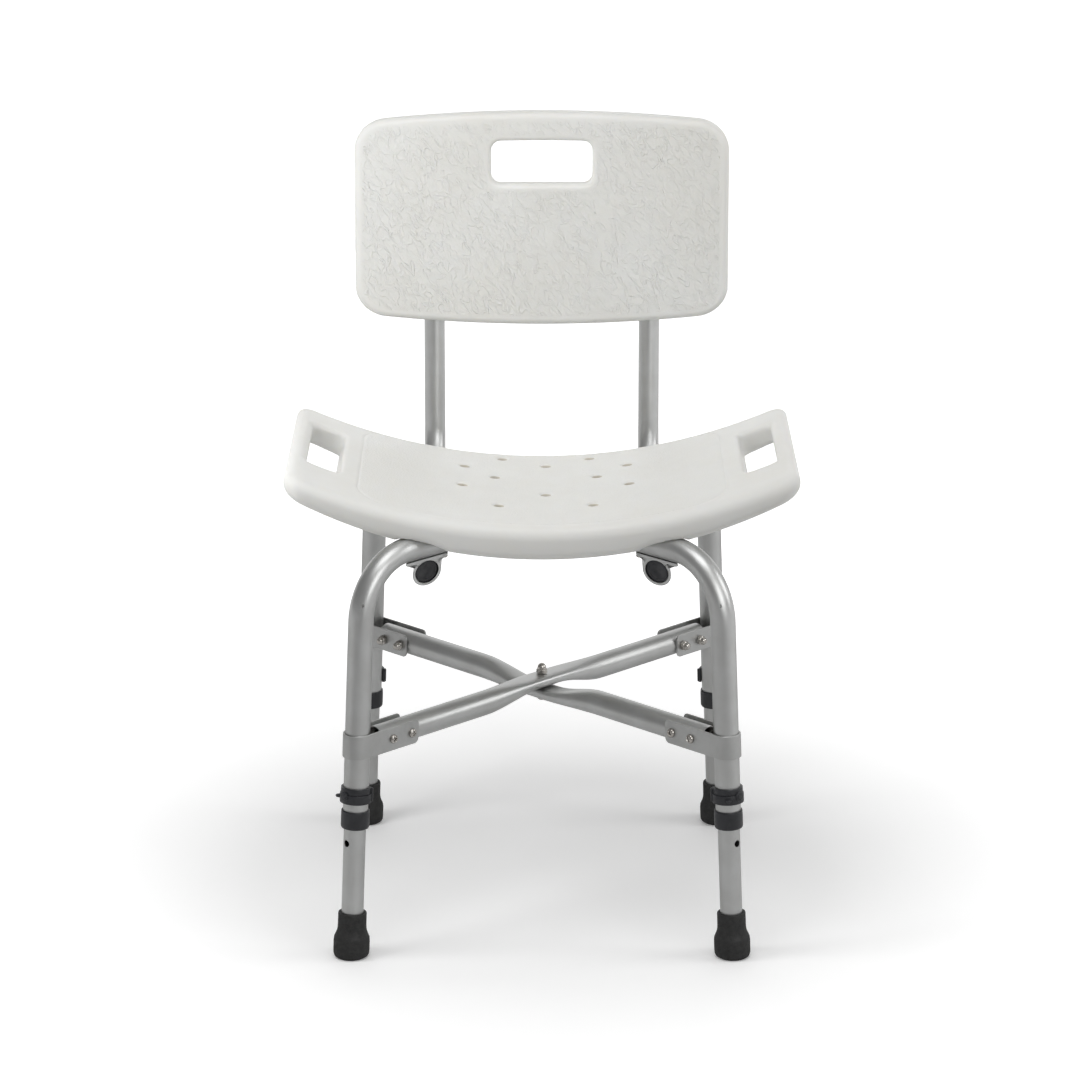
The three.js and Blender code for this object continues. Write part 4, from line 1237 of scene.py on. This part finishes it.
def white_plastic(name, grain, tones=(WHITE, WHITE_WARM)):
    """Off-white blow-moulded plastic. grain is smooth, pebble or leather."""
    finish = Finish(name, WHITE, 0.45, IOR=1.5, Subsurface_Weight=0.12, Subsurface_Scale=0.006)
    finish.shader.inputs["Subsurface Radius"].default_value = (1.0, 0.85, 0.6)
    finish.vary_color(*tones, finish.noise(9, 4))
    finish.vary_roughness(finish.noise(60, 3), 0.38, 0.5)
    finish.bump(finish.noise(700, 2), 0.10, 0.10)
    if grain == "pebble":
        warp = finish.node("ShaderNodeTexVoronoi", Scale=520.0, feature="SMOOTH_F1", Smoothness=0.6)
        finish.link(finish.place, warp.inputs["Vector"])
        finish.bump(warp.outputs["Distance"], 0.7, 0.5)
        finish.bump(finish.noise(330, 3), 0.6, 0.45)
    if grain == "leather":
        slant = finish.node("ShaderNodeMapping", vector_type="TEXTURE")
        slant.inputs["Rotation"].default_value = (0, math.radians(-30), 0)
        slant.inputs["Scale"].default_value = (1, 1, 2.2)
        finish.link(finish.place, slant.inputs["Vector"])
        patches = finish.remap(finish.noise(26, 2), 0.36, 0.56, 0.75, 1)
        for scale, height in ((140.0, 0.54), (240.0, 0.28)):
            crease = finish.node("ShaderNodeTexNoise", Scale=scale, Detail=1.5, Roughness=0.4, Distortion=0.9)
            finish.link(slant.outputs["Vector"], crease.inputs["Vector"])
            near = finish.math("ABSOLUTE", finish.math("SUBTRACT", crease.outputs["Fac"], 0.5))
            raised = finish.math("MULTIPLY", finish.remap(near, 0.0, 0.06, 1, 0), patches)
            finish.bump(raised, 0.9, height)
    return finish.material


ALUMINIUM = ((0.56, 0.565, 0.56), (0.51, 0.513, 0.505))


def aluminium(name, rough_low, rough_high, drawn, tone=1.0):
    """Satin anodised aluminium, with faint lines along a drawn tube."""
    finish = Finish(name, (0.55, 0.555, 0.55), 0.4, 1.0)
    cloud = finish.noise(35, 4)
    finish.vary_color(*([c * tone for c in metal] for metal in ALUMINIUM), cloud)
    where = finish.place
    if drawn:
        uv = finish.split(finish.node("ShaderNodeUVMap", uv_map="length").outputs["UV"])
        angle = finish.math("MULTIPLY", uv["X"], 2 * math.pi)
        join = finish.node("ShaderNodeCombineXYZ")
        finish.link(finish.math("MULTIPLY", finish.math("COSINE", angle), 30.0), join.inputs["X"])
        finish.link(finish.math("MULTIPLY", finish.math("SINE", angle), 30.0), join.inputs["Y"])
        finish.link(finish.math("MULTIPLY", uv["Y"], 1.5), join.inputs["Z"])
        where = join.outputs[0]
        lines = finish.noise(1.0, 5, 0.6, where)
        finish.vary_roughness(lines, rough_low, rough_high)
        finish.bump(lines, 0.12, 0.05)
    else:
        finish.vary_roughness(finish.noise(260, 4), rough_low, rough_high)
    finish.bump(finish.noise(2600, 2), 0.12, 0.02)
    return finish.material


# colour, roughness, metal; two tones and their noise; gloss noise and range; bump noise, strength, height
PLAIN_FINISHES = {
    "black_plastic": (
        ((0.024, 0.025, 0.028), 0.4, 0.0),
        ((0.014, 0.015, 0.018), (0.022, 0.023, 0.027), (80, 4)),
        ((300, 3), 0.34, 0.5),
        ((1500, 3), 0.25, 0.06),
    ),
    "rubber": (
        ((0.028, 0.028, 0.027), 0.75, 0.0),
        ((0.017, 0.017, 0.017), (0.024, 0.024, 0.023), (500, 4)),
        ((200, 3), 0.62, 0.85),
        ((1800, 4), 0.35, 0.1),
    ),
    "stainless": (
        ((0.56, 0.54, 0.51), 0.18, 1.0),
        ((0.53, 0.51, 0.48), (0.42, 0.395, 0.365), (150, 3)),
        ((700, 4), 0.12, 0.26),
        ((2200, 2), 0.08, 0.03),
    ),
}


def plain_finish(name):
    surface, (tone_a, tone_b, mottle), (gloss, low, high), (grain, strength, height) = PLAIN_FINISHES[name]
    finish = Finish(name, *surface)
    finish.vary_color(tone_a, tone_b, finish.noise(*mottle))
    finish.vary_roughness(finish.noise(*gloss), low, high)
    finish.bump(finish.noise(*grain), strength, height)
    return finish.material


FLOOR_TONE = {"seen": 0.95, "mirrored": 0.8, "near_glow": 0.12, "side_glow": 0.6}
DARK_CARDS = ((-0.85, -0.95, 0.5), (0.65, -1.1, 0.45), (0.0, -2.1, 0.8))


def floor_finish():
    """Pale floor that brightens to white with distance. Metal mirrors a floor with dark cards laid on it."""
    finish = Finish("studio_floor", [FLOOR_TONE["seen"]] * 3, 0.7)
    x, y, _ = finish.split(finish.place)

    def distance(from_x, from_y):
        sides = [finish.math("SUBTRACT", x, from_x), finish.math("SUBTRACT", y, from_y)]
        squares = [finish.math("MULTIPLY", side, side) for side in sides]
        return finish.math("SQRT", finish.math("ADD", *squares))

    tone = FLOOR_TONE["mirrored"]
    mirrored = finish.remap(finish.noise(1.5, 2), 0.3, 0.7, tone, tone * 0.9)
    for card_x, card_y, radius in DARK_CARDS:
        card = finish.remap(distance(card_x, card_y), radius * 0.5, radius, 0.3, 1)
        mirrored = finish.math("MULTIPLY", mirrored, card)
    seen = finish.camera_ray()
    tone = finish.node("ShaderNodeMix", data_type="FLOAT")
    finish.link(seen, tone.inputs["Factor"])
    finish.link(mirrored, tone.inputs["A"])
    tone.inputs["B"].default_value = FLOOR_TONE["seen"]
    grey = finish.node("ShaderNodeCombineColor")
    for channel in ("Red", "Green", "Blue"):
        finish.link(tone.outputs["Result"], grey.inputs[channel])
    finish.link(grey.outputs["Color"], finish.shader.inputs["Base Color"])
    glow = finish.math("MULTIPLY", finish.remap(distance(0, 0), 0.3, 1.25, FLOOR_TONE["near_glow"], 1), seen)
    behind = finish.remap(y, 1.2, 2.4, 0, 1)
    aside = finish.remap(finish.math("ABSOLUTE", x), 1.1, 1.7, 0, FLOOR_TONE["side_glow"])
    finish.shader.inputs["Emission Color"].default_value = (1, 1, 1, 1)
    glow = finish.math("MAXIMUM", glow, finish.math("MAXIMUM", behind, aside))
    finish.link(glow, finish.shader.inputs["Emission Strength"])
    return finish.material


def make_materials():
    made = {name: plain_finish(name) for name in PLAIN_FINISHES}
    for grain in ("smooth", "pebble", "leather"):
        made[f"white_{grain}"] = white_plastic(f"white_{grain}", grain)
    # A darker tan copy of the smooth white: painted shade for the drain holes.
    made["white_painted_shade"] = white_plastic("white_painted_shade", "smooth", PAINTED_SHADE_TONES)
    made["aluminium"] = aluminium("aluminium", 0.37, 0.45, True)
    made["aluminium_sheet"] = aluminium("aluminium_sheet", 0.38, 0.5, False, 0.9)
    return made


# ---------------------------------------------------------------- stage, lights and camera
FLOOR_RADIUS = 16.0


def build_stage():
    rings = [0.0, 0.5, 1.0, 2.0, 4.0, 8.0, FLOOR_RADIUS]
    verts, faces = turned([(radius, 0.0) for radius in rings], 64)
    mesh = bpy.data.meshes.new("studio")
    mesh.from_pydata(verts, [], [face[::-1] for face in faces])
    mesh.materials.append(floor_finish())
    floor = add_object("studio", mesh)


CHAIR_MIDDLE = (0, 0, 0.4)
LIGHTS = {  # place, target, size in metres, power in watts, seen in gloss, lights matt surfaces
    "top": ((0.1, -0.55, 2.4), CHAIR_MIDDLE, (1.5, 1.3), 15.5, True, True),
    "key": ((1.0, -1.9, 1.35), CHAIR_MIDDLE, (1.4, 1.3), 15, True, False),
    "left": ((-0.8, -0.35, 0.95), (0, 0.2, 0.68), (0.45, 0.7), 4.6, False, True),
    "front": ((-1.0, -1.9, 0.6), CHAIR_MIDDLE, (0.8, 0.6), 2.2, False, True),
    "right": ((1.8, -0.1, 1.25), (0, 0, 0.25), (0.8, 1.2), 9, True, True),
}


def build_lights():
    for name, (place, target, size, power, glossy, matt) in LIGHTS.items():
        data = bpy.data.lights.new(name, "AREA")
        data.shape = "RECTANGLE"
        data.size, data.size_y = size
        data.energy = power
        light = add_object(name, data)
        light.location = place
        light.rotation_euler = (Vector(target) - Vector(place)).to_track_quat("-Z", "Y").to_euler()
        light.visible_camera = False
        light.visible_glossy = glossy
        light.visible_diffuse = matt


WORLD_AMBIENT = 0.26
WORLD_BEHIND = 1.0


def build_world():
    """White behind everything the camera sees; dim all round the chair, with a bright wall behind it."""
    world = bpy.data.worlds.new("studio")
    world.use_nodes = True
    nodes = Nodes(world.node_tree)
    background = world.node_tree.nodes["Background"]
    background.inputs["Color"].default_value = (1, 1, 1, 1)
    to_rear = nodes.split(nodes.node("ShaderNodeTexCoord").outputs["Generated"])["Y"]
    wall = nodes.remap(to_rear, 0.55, 0.85, WORLD_AMBIENT, WORLD_BEHIND)
    nodes.link(nodes.math("MAXIMUM", wall, nodes.camera_ray()), background.inputs["Strength"])
    bpy.context.scene.world = world
    bpy.context.scene.view_settings.view_transform = "Standard"


CAMERA_DISTANCE = 4.15465
CAMERA_HEIGHT = 1.63597
CAMERA_TILT = 16.796
CAMERA_SIDE = -0.0019


def build_camera():
    data = bpy.data.cameras.new("camera")
    data.lens = 140
    data.sensor_width = 36
    data.clip_end = 50
    camera = add_object("camera", data)
    camera.location = (CAMERA_SIDE, -CAMERA_DISTANCE + MIDDLE_Y * MM, CAMERA_HEIGHT)
    camera.rotation_euler = (math.radians(90 - CAMERA_TILT), 0, 0)
    bpy.context.scene.camera = camera


# ---------------------------------------------------------------- the chair
def build_chair():
    FINISHES.update(make_materials())
    build_tubes()
    for name in CORNERS:
        place = leg_place(name)
        build_leg_tube(name, place)
        build_foot(name, place)
        build_collar(name, place)
        build_clip(name, place)
    build_brackets()
    build_cross_fasteners()
    build_seat_screws()
    build_seat()
    build_backrest()
    build_back_tubes()
    build_back_screws()
    build_sleeves()


build_chair()
build_stage()
build_lights()
build_world()
build_camera()
